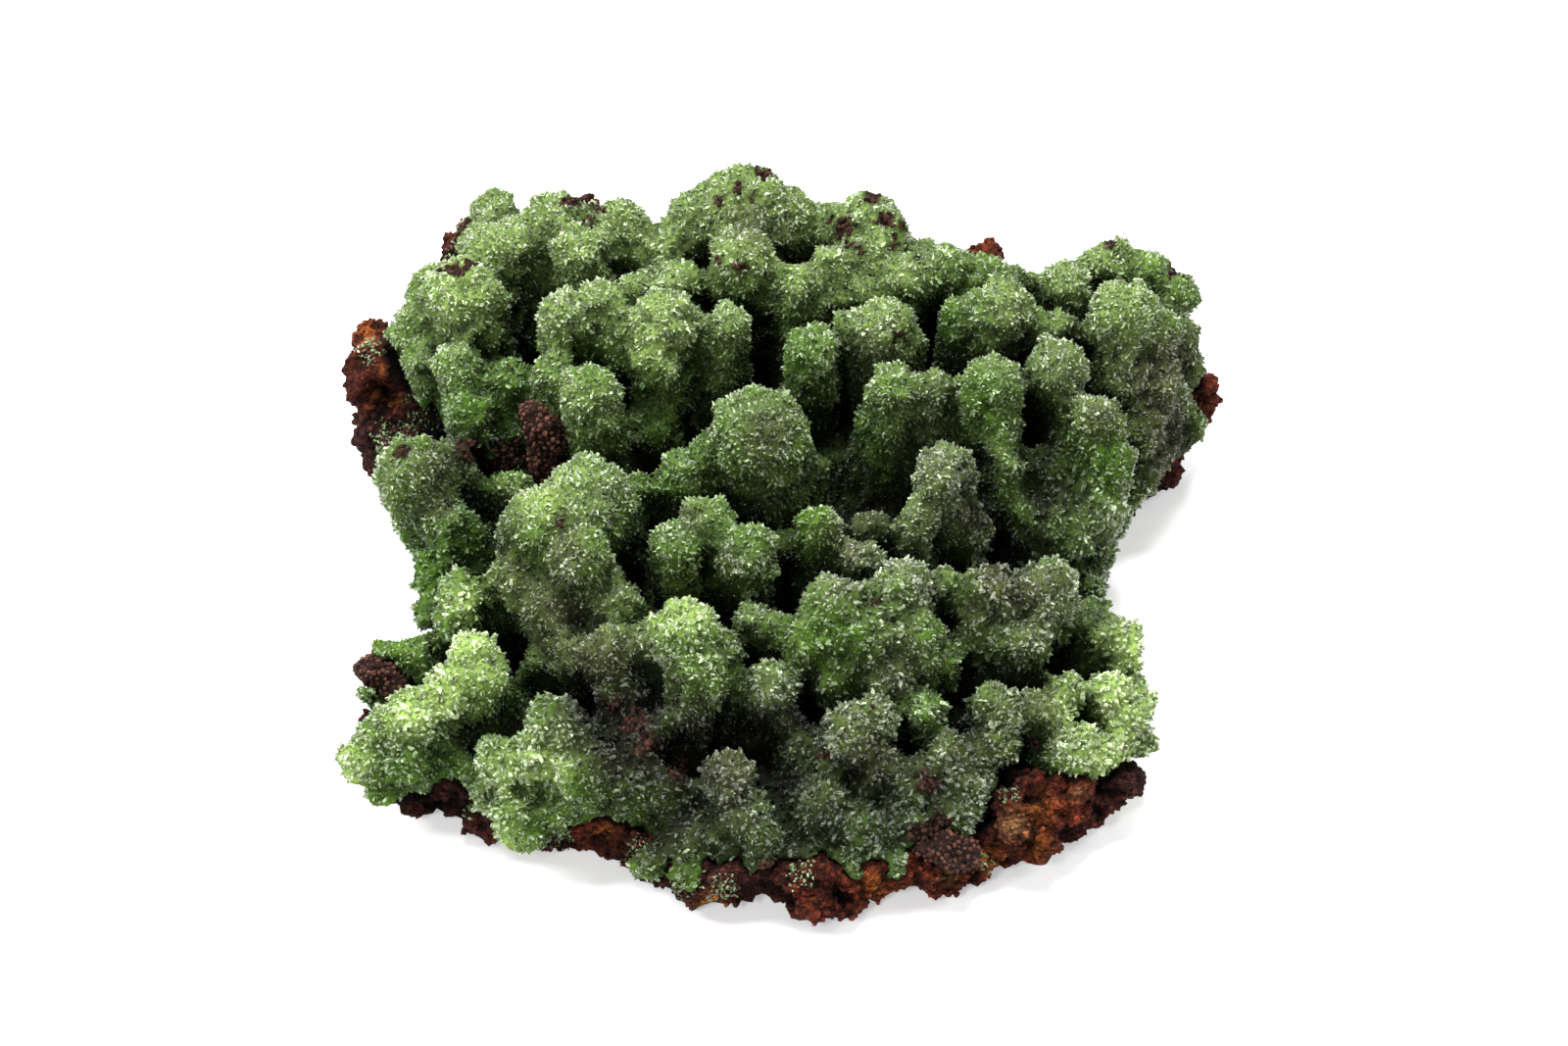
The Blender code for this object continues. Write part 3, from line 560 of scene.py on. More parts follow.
def normals_of(mesh):
    return read_rows(mesh.vertices, "normal", 3)


def edges_of(mesh):
    return read_rows(mesh.edges, "vertices", 2, np.int64)


def set_points(mesh, points):
    mesh.vertices.foreach_set("co", points.ravel())
    mesh.update()


def new_object(name, mesh):
    made = bpy.data.objects.new(name, mesh)
    bpy.context.scene.collection.objects.link(made)
    return made


def mesh_from(bm, name):
    mesh = bpy.data.meshes.new(name)
    bm.to_mesh(mesh)
    bm.free()
    return mesh


def make_plain(piece):
    """Makes the evaluated shape the piece's own mesh and takes its modifiers off."""
    graph = bpy.context.evaluated_depsgraph_get()
    finished = bpy.data.meshes.new_from_object(piece.evaluated_get(graph))
    finished.name = piece.name
    piece.modifiers.clear()
    piece.data = finished


def joined_copy(node, name, settle):
    """A copy of a CAD node's mesh as one skin, drawn in along its normals."""
    piece = new_object(name, frame["nodes"][node].data.copy())
    bm = bmesh.new()
    bm.from_mesh(piece.data)
    bmesh.ops.remove_doubles(bm, verts=bm.verts, dist=1e-6)
    bm.to_mesh(piece.data)
    bm.free()
    piece.data.materials.clear()
    set_points(piece.data, points_of(piece.data) - normals_of(piece.data) * settle * MM)
    return piece


def refine(piece, voxel, smoothing):
    """Joins what overlaps into one even skin and takes the facets off it."""
    remesh = piece.modifiers.new("fine", "REMESH")
    remesh.mode = "VOXEL"
    remesh.voxel_size = voxel * MM
    soften = piece.modifiers.new("soften", "SMOOTH")
    soften.iterations = smoothing
    soften.factor = SOFTENING
    make_plain(piece)


def on_face(across, up, height):
    """The point in the frame that stands this high and is seen at this place on the face."""
    depth = (up - SIGHT_DATUM) / math.sin(SIGHT_ANGLE) - height / math.tan(SIGHT_ANGLE)
    return Vector((across + ORIGIN[0], depth + ORIGIN[1], height)) * MM


def unit_ball():
    bm = bmesh.new()
    bmesh.ops.create_icosphere(bm, subdivisions=BALL_FINENESS, radius=1.0)
    points = np.array([vertex.co for vertex in bm.verts])
    faces = np.array([[vertex.index for vertex in face.verts] for face in bm.faces])
    bm.free()
    return points, faces


def lumps_mesh(lumps):
    """Each lump is a ball whose lower half is drawn down into a stem, which leans in towards the
    middle of the specimen at its foot."""
    ball, ball_faces = unit_ball()
    points = []
    faces = []
    for across, up, height, radius in lumps:
        tip = on_face(across, up, height)
        foot = Vector((tip.x * STEM_PULL, tip.y * STEM_PULL, min(STEM_FOOT * MM, tip.z)))
        drawn = foot - tip
        lower = ball @ np.array(drawn) > 0
        at_back = up > SWELL_ABOVE and across < SWELL_LEFT_OF
        lump = ball * (radius - DRUSE_SETTLE + (BACK_SWELL if at_back else LUMP_SWELL)) * MM
        lump[lower] = lump[lower] * STEM_TAPER + np.array(drawn)
        lump += np.array(tip)
        faces.append(ball_faces + len(points) * len(ball))
        points.append(lump)
    mesh = bpy.data.meshes.new("lumps")
    mesh.from_pydata(np.vstack(points).tolist(), [], np.vstack(faces).tolist())
    return mesh


def cut_room(piece, other):
    """Cuts a slightly grown copy of the other piece out of this one."""
    cutter = new_object("cutter", other.data.copy())
    cutter.data.materials.clear()
    for name in OWN_LAYERS & set(cutter.data.attributes.keys()):
        cutter.data.attributes.remove(cutter.data.attributes[name])
    set_points(cutter.data, points_of(cutter.data) + normals_of(cutter.data) * GAP * MM)
    boolean = piece.modifiers.new("room", "BOOLEAN")
    boolean.operation = "DIFFERENCE"
    boolean.solver = "MANIFOLD"
    boolean.object = cutter
    make_plain(piece)
    bpy.data.objects.remove(cutter)


def keep_main_body(piece):
    """Deletes the crumbs that the cuts leave beside the main body."""
    mesh = piece.data
    edges = edges_of(mesh)
    label = np.arange(len(mesh.vertices))
    while True:
        least = np.minimum(label[edges[:, 0]], label[edges[:, 1]])
        before = label.copy()
        np.minimum.at(label, edges[:, 0], least)
        np.minimum.at(label, edges[:, 1], least)
        label = label[label]
        if (label == before).all():
            break
    main = np.bincount(label).argmax()
    bm = bmesh.new()
    bm.from_mesh(mesh)
    crumbs = [vertex for vertex in bm.verts if label[vertex.index] != main]
    bmesh.ops.delete(bm, geom=crumbs, context="VERTS")
    bm.to_mesh(mesh)
    bm.free()


def rough_noise(points, grain, octaves, shift):
    """A fractal noise for each point, about -1 to 1."""
    scaled = points / (grain * MM) + shift
    return np.array([noise.fractal(Vector(point), 0.8, 2.1, octaves) for point in scaled])


def lumpy_noise(points, grain, shift):
    """For each point, 1 in the middle of a rounded cell and 0 at the joints between cells."""
    scaled = points / (grain * MM) + shift
    nearest = np.array([noise.voronoi(Vector(point))[0][:2] for point in scaled])
    return np.clip((nearest[:, 1] - nearest[:, 0]) * 1.6, 0, 1)


def swell(piece, amounts):
    """Moves each point along its normal by its amount, in millimetres."""
    mesh = piece.data
    set_points(mesh, points_of(mesh) + normals_of(mesh) * amounts[:, None] * MM)


def crest_of(mesh, steepness):
    """1 on what stands out from the surface around it, 0 in hollows, and 0.5 where it is even."""
    edges = edges_of(mesh)
    points = points_of(mesh)
    sides = np.bincount(edges.ravel(), minlength=len(points))[:, None]
    soft = points
    for _ in range(BULGE_ROUNDS):
        total = np.zeros_like(soft)
        np.add.at(total, edges[:, 0], soft[edges[:, 1]])
        np.add.at(total, edges[:, 1], soft[edges[:, 0]])
        soft = total / sides
    bulge = ((points - soft) * normals_of(mesh)).sum(1) / MM
    return np.clip(0.5 + steepness * bulge, 0, 1)


def store(mesh, **layers):
    """Keeps one number, or one colour, for each point in each of the layers."""
    for name, values in layers.items():
        kind = "FLOAT_COLOR" if values.ndim == 2 else "FLOAT"
        layer = mesh.attributes.new(name, kind, "POINT")
        if values.ndim == 2:
            opaque = np.column_stack([values, np.ones(len(values))])
            layer.data.foreach_set("color", opaque.astype(np.float32).ravel())
        else:
            layer.data.foreach_set("value", values.astype(np.float32))


def openness(points, normals, cover):
    """For each point, the share of the light over its surface that the cover's points don't stop.
    Seen from one part of the sky after another, only the nearest point in each cell is lit."""
    lit = np.zeros(len(points))
    most = np.full(len(points), 1e-6)
    golden = math.pi * (3 - math.sqrt(5))
    for i in range(SKY_PARTS):
        rise = (i + 0.5) / SKY_PARTS
        level = math.sqrt(1 - rise * rise)
        sky = Vector((level * math.cos(golden * i), level * math.sin(golden * i), rise))
        plane = np.array([sky.orthogonal().normalized(), sky.cross(sky.orthogonal()).normalized()])
        cells = np.floor(cover @ plane.T / (SKY_CELL * MM)).astype(int)
        corner = cells.min(0)
        nearest = np.full(cells.max(0) - corner + 1, -1.0)
        np.maximum.at(nearest, tuple((cells - corner).T), cover @ np.array(sky))
        own = np.floor(points @ plane.T / (SKY_CELL * MM)).astype(int) - corner
        own = np.clip(own, 0, np.array(nearest.shape) - 1)
        below = (nearest[tuple(own.T)] - points @ np.array(sky)) / MM
        facing = np.clip(normals @ np.array(sky), 0, 1)
        lit += facing * np.clip(1 - (below - SKY_SLACK) / SKY_FADE, 0, 1)
        most += facing
    return lit / most


def on_view(points):
    """(across, up) of each point as seen from the front."""
    x, y, z = (points / MM).T
    across = x - ORIGIN[0]
    up = (y - ORIGIN[1] + z) * math.sin(SIGHT_ANGLE) + SIGHT_DATUM
    return across, up


def away_from(spot, view):
    """How far each point of the view is from the spot, as a multiple of the spot's reach."""
    return np.hypot(view[0] - spot[0], view[1] - spot[1]) / spot[2]


def towards_viewer(mesh):
    """How far each point's normal turns to the viewer: 1 straight at them, below 0 away."""
    return normals_of(mesh) @ np.array(TO_VIEWER)


def zoned_colour(points, first, second, zones):
    """A patchy mixture of the first two colours, with the zones laid over it."""
    view = on_view(points)
    waver = rough_noise(points, *ZONE_WAVER)
    patchy = np.clip(0.2 + 0.6 * rough_noise(points, *PATCHES), 0, 0.6)[:, None]
    colour = np.array(first) * (1 - patchy) + np.array(second) * patchy
    for tint, strength, spots in zones:
        for spot in spots:
            away = away_from(spot, view) * (1 + 0.35 * waver)
            share = strength * np.exp(-(away**2) * 1.1)[:, None]
            colour = colour * (1 - share) + np.array(tint) * share
    return colour


def spot_share(mesh, spots):
    """1 in the spots, whose edges waver, where the surface faces the front, and 0 elsewhere."""
    points = points_of(mesh)
    view = on_view(points)
    waver = rough_noise(points, *SPOT_WAVER)
    share = np.zeros(len(points))
    for spot in spots:
        share = np.maximum(share, away_from(spot, view) + 0.4 * waver < 1.0)
    return share * (towards_viewer(mesh) > FRONT_FACING)


def coarse_share(points):
    """1 where all the crystals are coarse, and 0 where all are fine."""
    view = on_view(points)
    waver = rough_noise(points, *COARSE_WAVER)
    share = np.zeros(len(points))
    for spot in COARSE:
        near = np.clip(1.6 - 1.2 * away_from(spot, view) + 0.5 * waver, 0, 1)
        share = np.maximum(share, spot[3] * near)
    return share


def crevice_depth(mesh):
    """How deep each point of the druse's front lies in the crevices, in mm."""
    view = on_view(points_of(mesh))
    depth = np.zeros(len(mesh.vertices))
    for spot in CREVICES:
        depth = np.maximum(depth, spot[3] * np.exp(-away_from(spot, view) ** 2))
    return depth * (towards_viewer(mesh) > FRONT_FACING)


def pit_depth(mesh):
    """How far each point of the rock is pushed in by the hollows that open to the front."""
    view = on_view(points_of(mesh))
    depth = np.zeros(len(mesh.vertices))
    for spot in PITS:
        depth += spot[3] * np.exp(-(away_from(spot, view) ** 4))
    return depth * np.clip(towards_viewer(mesh) * 2, 0, 1)


def foot_of(bm, half):
    """The four corners of a crystal's foot, below the ground, and the face that closes it."""
    foot = [bm.verts.new((x * half, y * half, -CRYSTAL_ROOT * MM)) for x, y in CORNERS]
    bm.faces.new(foot[::-1])
    return foot


def pointed_crystal(name, length, width):
    """A four-sided pyramid with its foot below the ground."""
    half = width * MM / 2
    bm = bmesh.new()
    foot = foot_of(bm, half)
    tip = bm.verts.new((0.2 * half, 0, length * MM))
    for i in range(4):
        bm.faces.new((foot[i], foot[(i + 1) % 4], tip))
    return bpy.data.objects.new(name, mesh_from(bm, name))


def chisel_crystal(name, length, width, shoulder, ridge, taper):
    """A four-sided prism under a chisel tip, or the tip alone where the shoulder is 0."""
    half = width * MM / 2
    top = length * MM
    bm = bmesh.new()
    foot = foot_of(bm, half)
    tips = [bm.verts.new((side * ridge * half, 0, top)) for side in (-1, 1)]
    rim = foot
    if shoulder > 0:
        rim = [bm.verts.new((x * half * taper, y * half * taper, top * shoulder)) for x, y in CORNERS]
        for i in range(4):
            bm.faces.new((foot[i], foot[(i + 1) % 4], rim[(i + 1) % 4], rim[i]))
    left, right = tips
    for side in (
        (rim[0], rim[1], left), (rim[1], rim[2], right), (rim[1], right, left),
        (rim[2], rim[3], right), (rim[3], rim[0], left), (rim[3], left, right),
    ):
        bm.faces.new(side)
    return bpy.data.objects.new(name, mesh_from(bm, name))


def chisels(tips, length, width):
    """A chisel-tipped crystal of this length and width for each tip in the table."""
    return [chisel_crystal(name, length, width, *tip) for name, tip in tips.items()]


def angular_grain(name, width, shift):
    """A ball of few faces with its corners moved in and out."""
    bm = bmesh.new()
    bmesh.ops.create_icosphere(bm, subdivisions=1, radius=width / 2 * MM)
    for vertex in bm.verts:
        place = vertex.co / (GRAIN_DENTS * width * MM) + Vector((shift, 0, 0))
        vertex.co *= 1 + GRAIN_UNEVENNESS * noise.noise(place)
    return bpy.data.objects.new(name, mesh_from(bm, name))


def scatter_tree(name, shapes, finish):
    """Grows the shapes over a mesh, as thickly as its "growth" says and as large as its "size".
    They take on its other layers, and get a number for each shape and one for each facet."""
    tree = bpy.data.node_groups.new(name, "GeometryNodeTree")
    sides = tree.interface
    for side in ("OUTPUT", "INPUT"):
        sides.new_socket("Geometry", in_out=side, socket_type="NodeSocketGeometry")
    for label, value in SCATTER_INPUTS.items():
        kind = "NodeSocketInt" if isinstance(value, int) else "NodeSocketFloat"
        sides.new_socket(label, in_out="INPUT", socket_type=kind).default_value = value

    def add(kind, settings=None, sockets=None, out=0):
        made = tree.nodes.new(kind)
        for key, value in (settings or {}).items():
            setattr(made, key, value)
        for key, value in (sockets or {}).items():
            if isinstance(value, bpy.types.NodeSocket):
                tree.links.new(value, made.inputs[key])
            else:
                made.inputs[key].default_value = value
        return made.outputs[out] if made.outputs else made

    def layer(label):
        sockets = {"Name": label}
        return add("GeometryNodeInputNamedAttribute", {"data_type": "FLOAT"}, sockets, "Attribute")

    def product(first, second):
        return add("ShaderNodeMath", {"operation": "MULTIPLY"}, {0: first, 1: second})

    def angles(lean, turn):
        return add("ShaderNodeCombineXYZ", {}, {0: lean, 1: lean, 2: turn})

    def drawn(kind, seed, least, most, **more):
        low, high, out = RANDOM_SOCKETS[kind]
        sockets = {low: least, high: most, "Seed": seed, **more}
        return add("FunctionNodeRandomValue", {"data_type": kind}, sockets, out)

    def marked(shape, domain, label, value):
        settings = {"data_type": "FLOAT", "domain": domain}
        sockets = {"Geometry": shape, "Name": label, "Value": value}
        return add("GeometryNodeStoreNamedAttribute", settings, sockets)

    given = tree.nodes.new("NodeGroupInput").outputs
    sockets = {
        "Mesh": given["Geometry"],
        "Distance Min": given["Spacing"],
        "Density Max": DENSEST,
        "Density Factor": layer("growth"),
        "Seed": given["Seed"],
    }
    settings = {"distribute_method": "POISSON"}
    spots = add("GeometryNodeDistributePointsOnFaces", settings, sockets, "Points")
    low = angles(product(given["Lean"], -1.0), -math.pi)
    turn = drawn("FLOAT_VECTOR", 11, low, angles(given["Lean"], math.pi))
    turned = add("FunctionNodeEulerToRotation", {}, {0: turn})
    upright = spots.node.outputs["Rotation"]
    settings = {"rotation_space": "LOCAL"}
    rotation = add("FunctionNodeRotateRotation", settings, {0: upright, 1: turned})
    scale = product(drawn("FLOAT", 23, given["Smallest"], given["Largest"]), layer("size"))
    sockets = {"Collection": shapes, "Separate Children": True, "Reset Children": True}
    kinds = add("GeometryNodeCollectionInfo", {}, sockets)
    sockets = {
        "Points": spots,
        "Instance": kinds,
        "Pick Instance": True,
        "Instance Index": drawn("INT", 31, 0, len(shapes.objects) - 1),
        "Rotation": rotation,
        "Scale": scale,
    }
    grown = add("GeometryNodeInstanceOnPoints", {}, sockets)
    grown = marked(grown, "INSTANCE", "grain", drawn("FLOAT", 47, 0.0, 1.0))
    real = add("GeometryNodeRealizeInstances", {}, {0: grown})
    facet = drawn("FLOAT", 61, 0.0, 1.0, ID=add("GeometryNodeInputIndex"))
    real = marked(real, "FACE", "facet", facet)
    painted = add("GeometryNodeSetMaterial", {}, {"Geometry": real, "Material": finish})
    add("NodeGroupOutput", {}, {0: painted})
    return tree


def set_inputs(modifier, tree, values):
    """Sets a Geometry Nodes modifier's inputs by the names that the tree gives them."""
    for item in tree.interface.items_tree:
        if item.item_type == "SOCKET" and item.in_out == "INPUT" and item.name in values:
            modifier[item.identifier] = values[item.name]


def crystal_material():
    paint = Paint("austinite_crystal")
    hue = paint.attribute("hue", "Color")
    grain = paint.attribute("grain")
    facet = paint.attribute("facet")
    lit = paint.between(paint.attribute("open"), SHADE, LIGHT)
    ripple = paint.noise(paint.place(), RIPPLES, 2.0, 0.6)
    fleck = paint.between(ripple, 0.35, 0.7)
    # Painted shade: where the surface is less open to the sky, the crystals' colour turns to the tinted,
    # deeper green.
    body = paint.mix(lit, paint.tinted(hue, PAINTED_SHADE_TINT), hue)
    # Painted glints and highlights: the pale colour is mixed into the brighter facets of lit crystals,
    # more on crests and in paler zones.
    glints = (0.15 + 0.28 * paint.between(facet, 0.45, 1.0)) * (0.3 + 0.7 * fleck)
    highlighted = paint.mix(lit * paint.attribute("frost") * glints, body, PAINTED_HIGHLIGHT)
    # Painted light: each facet is made brighter or darker at random, as facets catch the lamps or miss
    # them, with a random tone for each crystal.
    light = (0.5 + 0.8 * facet) * (0.7 + 0.6 * grain) * (0.55 + 0.9 * fleck)
    return paint.finish(
        # Painted shade: the colour is darkened where the surface is less open to the sky.
        Base_Color=paint.scaled(highlighted, light * (0.18 + 1.74 * lit)),
        Roughness=0.12 + 0.22 * grain,
        IOR=1.77,
        Specular_IOR_Level=0.24,
        Transmission_Weight=0.3,
        Normal=paint.bump(ripple, CRYSTAL_BUMP),
    )


def druse_material():
    paint = Paint("austinite_ground")
    facet = paint.cells(paint.place(), GROUND_FACETS)
    lit = paint.between(paint.attribute("open"), SHADE, LIGHT)
    body = paint.tinted(paint.attribute("hue", "Color"), GROUND_TINT)
    return paint.finish(
        # Painted shade: the ground is darker where it is less open to the sky.
        Base_Color=paint.scaled(body, (0.3 + 1.1 * facet) * (0.13 + 0.72 * lit)),
        Roughness=0.7,
        Specular_IOR_Level=0.08,
        Normal=paint.bump(facet, CRYSTAL_BUMP),
    )


def rock_material():
    paint = Paint("iron_oxide_rock")
    place = paint.place()
    broad = paint.noise(place, ROCK_PATCHES, 5.0)
    fine = paint.noise(paint.tinted(place, LAYER_FLATNESS), ROCK_LAYERS, 6.0)
    dust = paint.noise(place, ROCK_DUST)
    cracks = paint.joints(paint.bent(place, broad, CRACK_WAVER), ROCK_CRACKS)
    cracks = paint.between(cracks, 0.0, 0.12)
    grit = 0.45 + 1.1 * paint.between(dust, 0.35, 0.65)
    mottle = (0.12 + 2.1 * paint.between(fine, 0.35, 0.7)) * (0.7 + 0.3 * cracks) * grit
    mottled = paint.scaled(paint.attribute("hue", "Color"), mottle)
    veined = paint.mix(0.5 * paint.between(broad, 0.56, 0.7), mottled, RUSTY_VEIN)
    dusty = paint.mix(0.2 * paint.between(dust, 0.56, 0.75), veined, OCHRE_DUST)
    # Painted shade: the rock is darker where it is less open to the sky.
    depth = 0.03 + 1.0 * paint.between(paint.attribute("open"), SHADE, ROCK_LIGHT)
    return paint.finish(
        Base_Color=paint.scaled(dusty, depth * (0.7 + 0.7 * paint.attribute("grain"))),
        Roughness=0.8,
        Specular_IOR_Level=0.12,
        Normal=paint.bump(fine + 0.5 * dust + 0.15 * cracks, ROCK_BUMP),
    )


def goethite_material():
    paint = Paint("goethite")
    fine = paint.noise(paint.place(), GOETHITE_GRAINS)
    # Painted shade: the knobs and specks are darker where they are less open to the sky.
    light = (0.1 + 0.9 * paint.attribute("open")) * (0.25 + 2.1 * paint.attribute("grain"))
    return paint.finish(
        Base_Color=paint.scaled(paint.mix(paint.between(fine, 0.35, 0.7), UMBER, GOETHITE_TOP), light),
        Roughness=0.6,
        Specular_IOR_Level=0.12,
        Normal=paint.bump(fine, GOETHITE_BUMP),
    )


def floor_material():
    return Paint("pale_floor").finish(
        Base_Color=(0.93, 0.93, 0.93),
        Roughness=0.35,
        Specular_IOR_Level=0.4,
        Emission_Color=(1.0, 1.0, 1.0),
        Emission_Strength=FLOOR_GLOW,
    )


def build_rock():
    rock = joined_copy("matrix", "iron_oxide_rock", ROCK_SETTLE)
    refine(rock, *ROCK_SKIN)
    points = points_of(rock.data)
    cells = lumpy_noise(points, *ROCK_CELLS) - 0.5
    ridges = 0.6 - 1.6 * np.abs(rough_noise(points, *ROCK_RIDGES))
    grit = rough_noise(points, *ROCK_GRIT)
    relief = ROCK_CELL_HEIGHT * cells + RIDGE_HEIGHT * ridges + GRIT_HEIGHT * grit
    underside_kept = np.clip(points[:, 2] / MM - 0.3, 0, 1)
    swell(rock, (relief - pit_depth(rock.data)) * underside_kept)
    points = points_of(rock.data)
    points[:, 2] = np.maximum(points[:, 2], LOWEST * MM)
    set_points(rock.data, points)
    rock.data.materials.append(rock_material())
    return rock


def build_knobs():
    finish = goethite_material()
    knobs = {}
    for node in frame["nodes"]:
        if node.startswith("goethite"):
            knob = joined_copy(node, "look_" + node, KNOB_SETTLE)
            refine(knob, *KNOB_SKIN)
            swell(knob, KNOB_CELL_HEIGHT * lumpy_noise(points_of(knob.data), *KNOB_CELLS))
            points = points_of(knob.data)
            free = openness(points, normals_of(knob.data), points)
            whole = np.ones(len(points))
            store(knob.data, open=free, size=whole, growth=whole)
            knob.data.materials.append(finish)
            knobs[node] = knob
    return knobs, finish


def build_druse(rock, knobs):
    """The lumps and fingers under the crystals."""
    druse = joined_copy("austinite_crust", "druse_ground", SHEET_SETTLE)
    bm = bmesh.new()
    bm.from_mesh(druse.data)
    bm.from_mesh(lumps_mesh(LUMPS))
    bm.to_mesh(druse.data)
    bm.free()
    refine(druse, *DRUSE_SKIN)
    points = points_of(druse.data)
    lobes = lumpy_noise(points, *DRUSE_LOBES) - 0.5
    buds = lumpy_noise(points, *DRUSE_BUDS) - 0.5
    rough = rough_noise(points, *DRUSE_ROUGH)
    relief = LOBE_HEIGHT * lobes + BUD_HEIGHT * buds + ROUGH_HEIGHT * rough - RELIEF_SETTLE
    swell(druse, relief - crevice_depth(druse.data))
    for other in [rock, *knobs]:
        cut_room(druse, other)
    keep_main_body(druse)
    druse.data.materials.clear()
    druse.data.materials.append(druse_material())
    return druse


def store_growth(druse, rock, specks):
    """What the crystals take from the ground that they grow on. Returns how thickly they grow."""
    mesh = druse.data
    points = points_of(mesh)
    normals = normals_of(mesh)
    free = openness(points, normals, np.vstack([points, points_of(rock.data)]))
    rock_points = [v.co for v in rock.data.vertices]
    rock_tree = BVHTree.FromPolygons(rock_points, [p.vertices for p in rock.data.polygons])
    near_rock = np.array([rock_tree.find_nearest(Vector(p))[3] for p in points]) / MM
    growth = np.clip((near_rock - BARE_EDGE) / BARE_EDGE, 0, 1)
    growth *= np.where(free < DEEP_SHADE, DEEP_SHADE_GROWTH, 1.0)
    growth *= np.where(normals[:, 2] < DRUSE_UNDERSIDE, 0.0, 1.0)
    crest = crest_of(mesh, DRUSE_CREST)
    hue = zoned_colour(points, LEAF, GREY, ZONES)
    hue[specks > 0] = UMBER
    # The share of painted highlight that the crystals take: more on crests and in paler zones.
    frost = np.clip(hue.mean(1) / 0.10, 0.1, 1) * (0.3 + 1.1 * crest)
    # Painted light and shade: the stored colour is lighter on crests and darker in the hollows between the
    # buds.
    store(mesh, hue=hue * (0.7 + 0.6 * crest)[:, None], frost=frost, open=free)
    store(mesh, size=1 + 0.15 * rough_noise(points, *SIZE_WAVER), growth=growth)
    return growth


def store_rock(rock, druse):
    """What the rock's material reads. Returns how thickly crumbs lie on it."""
    points = points_of(rock.data)
    normals = normals_of(rock.data)
    free = openness(points, normals, np.vstack([points, points_of(druse.data)]))
    above = (points[:, 2] > CRUMBS_ABOVE * MM) * (normals[:, 2] > ROCK_UNDERSIDE)
    in_sight = np.clip((free - CRUMBS_FROM) / CRUMBS_RISE, 0, 1) * above
    crest = crest_of(rock.data, ROCK_CREST)
    hue = zoned_colour(points, MAROON, CHOCOLATE, ROCK_ZONES)
    whole = np.ones(len(points))
    # Painted light and shade: the rock's stored colour is lighter on its crests and darker in its hollows.
    store(rock.data, hue=hue * (0.35 + 1.3 * crest)[:, None], open=free)
    # The share of painted highlight that the crystals sprinkled on the rock take.
    store(rock.data, size=whole, frost=0.7 * whole, growth=in_sight)
    return in_sight


def collected(name, shapes):
    """A collection of the shapes that a scatter picks from."""
    made = bpy.data.collections.new(name)
    for shape in shapes:
        made.objects.link(shape)
    return made


def discard(collection):
    for shape in list(collection.objects):
        bpy.data.objects.remove(shape)
    bpy.data.collections.remove(collection)


def grow_on(ground, name, tree, inputs, **layers):
    """A piece of its own, grown on a copy of the ground, whose layers these take the place of."""
    piece = new_object(name, ground.data.copy())
    for layer in layers:
        piece.data.attributes.remove(piece.data.attributes[layer])
    store(piece.data, **layers)
    modifier = piece.modifiers.new("grow", "NODES")
    modifier.node_group = tree
    set_inputs(modifier, tree, inputs)
    make_plain(piece)
    return piece


def grow_crystals(druse, growth, rock, bare):
    """The fine crystals, in one piece for each part of the face, the coarse ones in one more, and
    the ones that are sprinkled on bare rock in another."""
    finish = crystal_material()
    point = pointed_crystal("point", FINE_LENGTH, FINE_WIDTH)
    fine = collected("fine_shapes", [point, *chisels(FINE_CHISELS, FINE_LENGTH, FINE_WIDTH)])
    coarse = collected("coarse_shapes", chisels(COARSE_CHISELS, COARSE_LENGTH, COARSE_WIDTH))
    share = coarse_share(points_of(druse.data))
    across, up = on_view(points_of(druse.data))
    below = up <= BACK_ABOVE
    middle = (across > LEFT_TO) & (across < RIGHT_FROM)
    parts = {
        "crystals_back": up > BACK_ABOVE,
        "crystals_left": below & (across <= LEFT_TO),
        "crystals_middle": below & (up > FRONT_BELOW) & middle,
        "crystals_front": (up <= FRONT_BELOW) & middle,
        "crystals_right": below & (across >= RIGHT_FROM),
    }
    tree = scatter_tree("grow fine crystals", fine, finish)
    pieces = []
    for seed, (name, inside) in enumerate(parts.items(), start=5):
        thick = growth * inside * (1 - 0.55 * share)
        pieces.append(grow_on(druse, name, tree, {"Seed": seed}, growth=thick))
    tree = scatter_tree("grow coarse crystals", coarse, finish)
    inputs = {"Spacing": COARSE_SPACING * MM, "Smallest": 0.45, "Largest": 1.15, "Seed": 21}
    pieces.append(grow_on(druse, "crystals_coarse", tree, inputs, growth=growth * share))
    green = zoned_colour(points_of(rock.data), PALE, LEAF, [])
    thick = bare * spot_share(rock.data, SPRINKLES)
    inputs = {"Spacing": SPRINKLE_SPACING * MM, "Smallest": 0.3, "Largest": 0.65, "Seed": 22}
    pieces.append(grow_on(rock, "crystals_on_rock", tree, inputs, growth=thick, hue=green))
    discard(fine)
    discard(coarse)
    return pieces


def grain_tree(name, width, step, finish):
    """A tree that grows uneven grains of this width, and the shapes that it picks from."""
    grains = [angular_grain(f"{name}_{i}", width, step * i) for i in range(GRAIN_SHAPES)]
    shapes = collected(name + "_shapes", grains)
    return scatter_tree("grow " + name, shapes, finish), shapes


def grow_crumbs(rock, growth):
    """Crumbs of rock on the rock that is in sight."""
    tree, shapes = grain_tree("crumb", CRUMB_WIDTH, 3.0, rock.data.materials[0])
    inputs = {"Spacing": CRUMB_SPACING * MM, "Lean": math.pi, "Smallest": 0.4, "Largest": 1.2}
    piece = grow_on(rock, "rock_crumbs", tree, inputs, growth=growth)
    discard(shapes)
    return piece


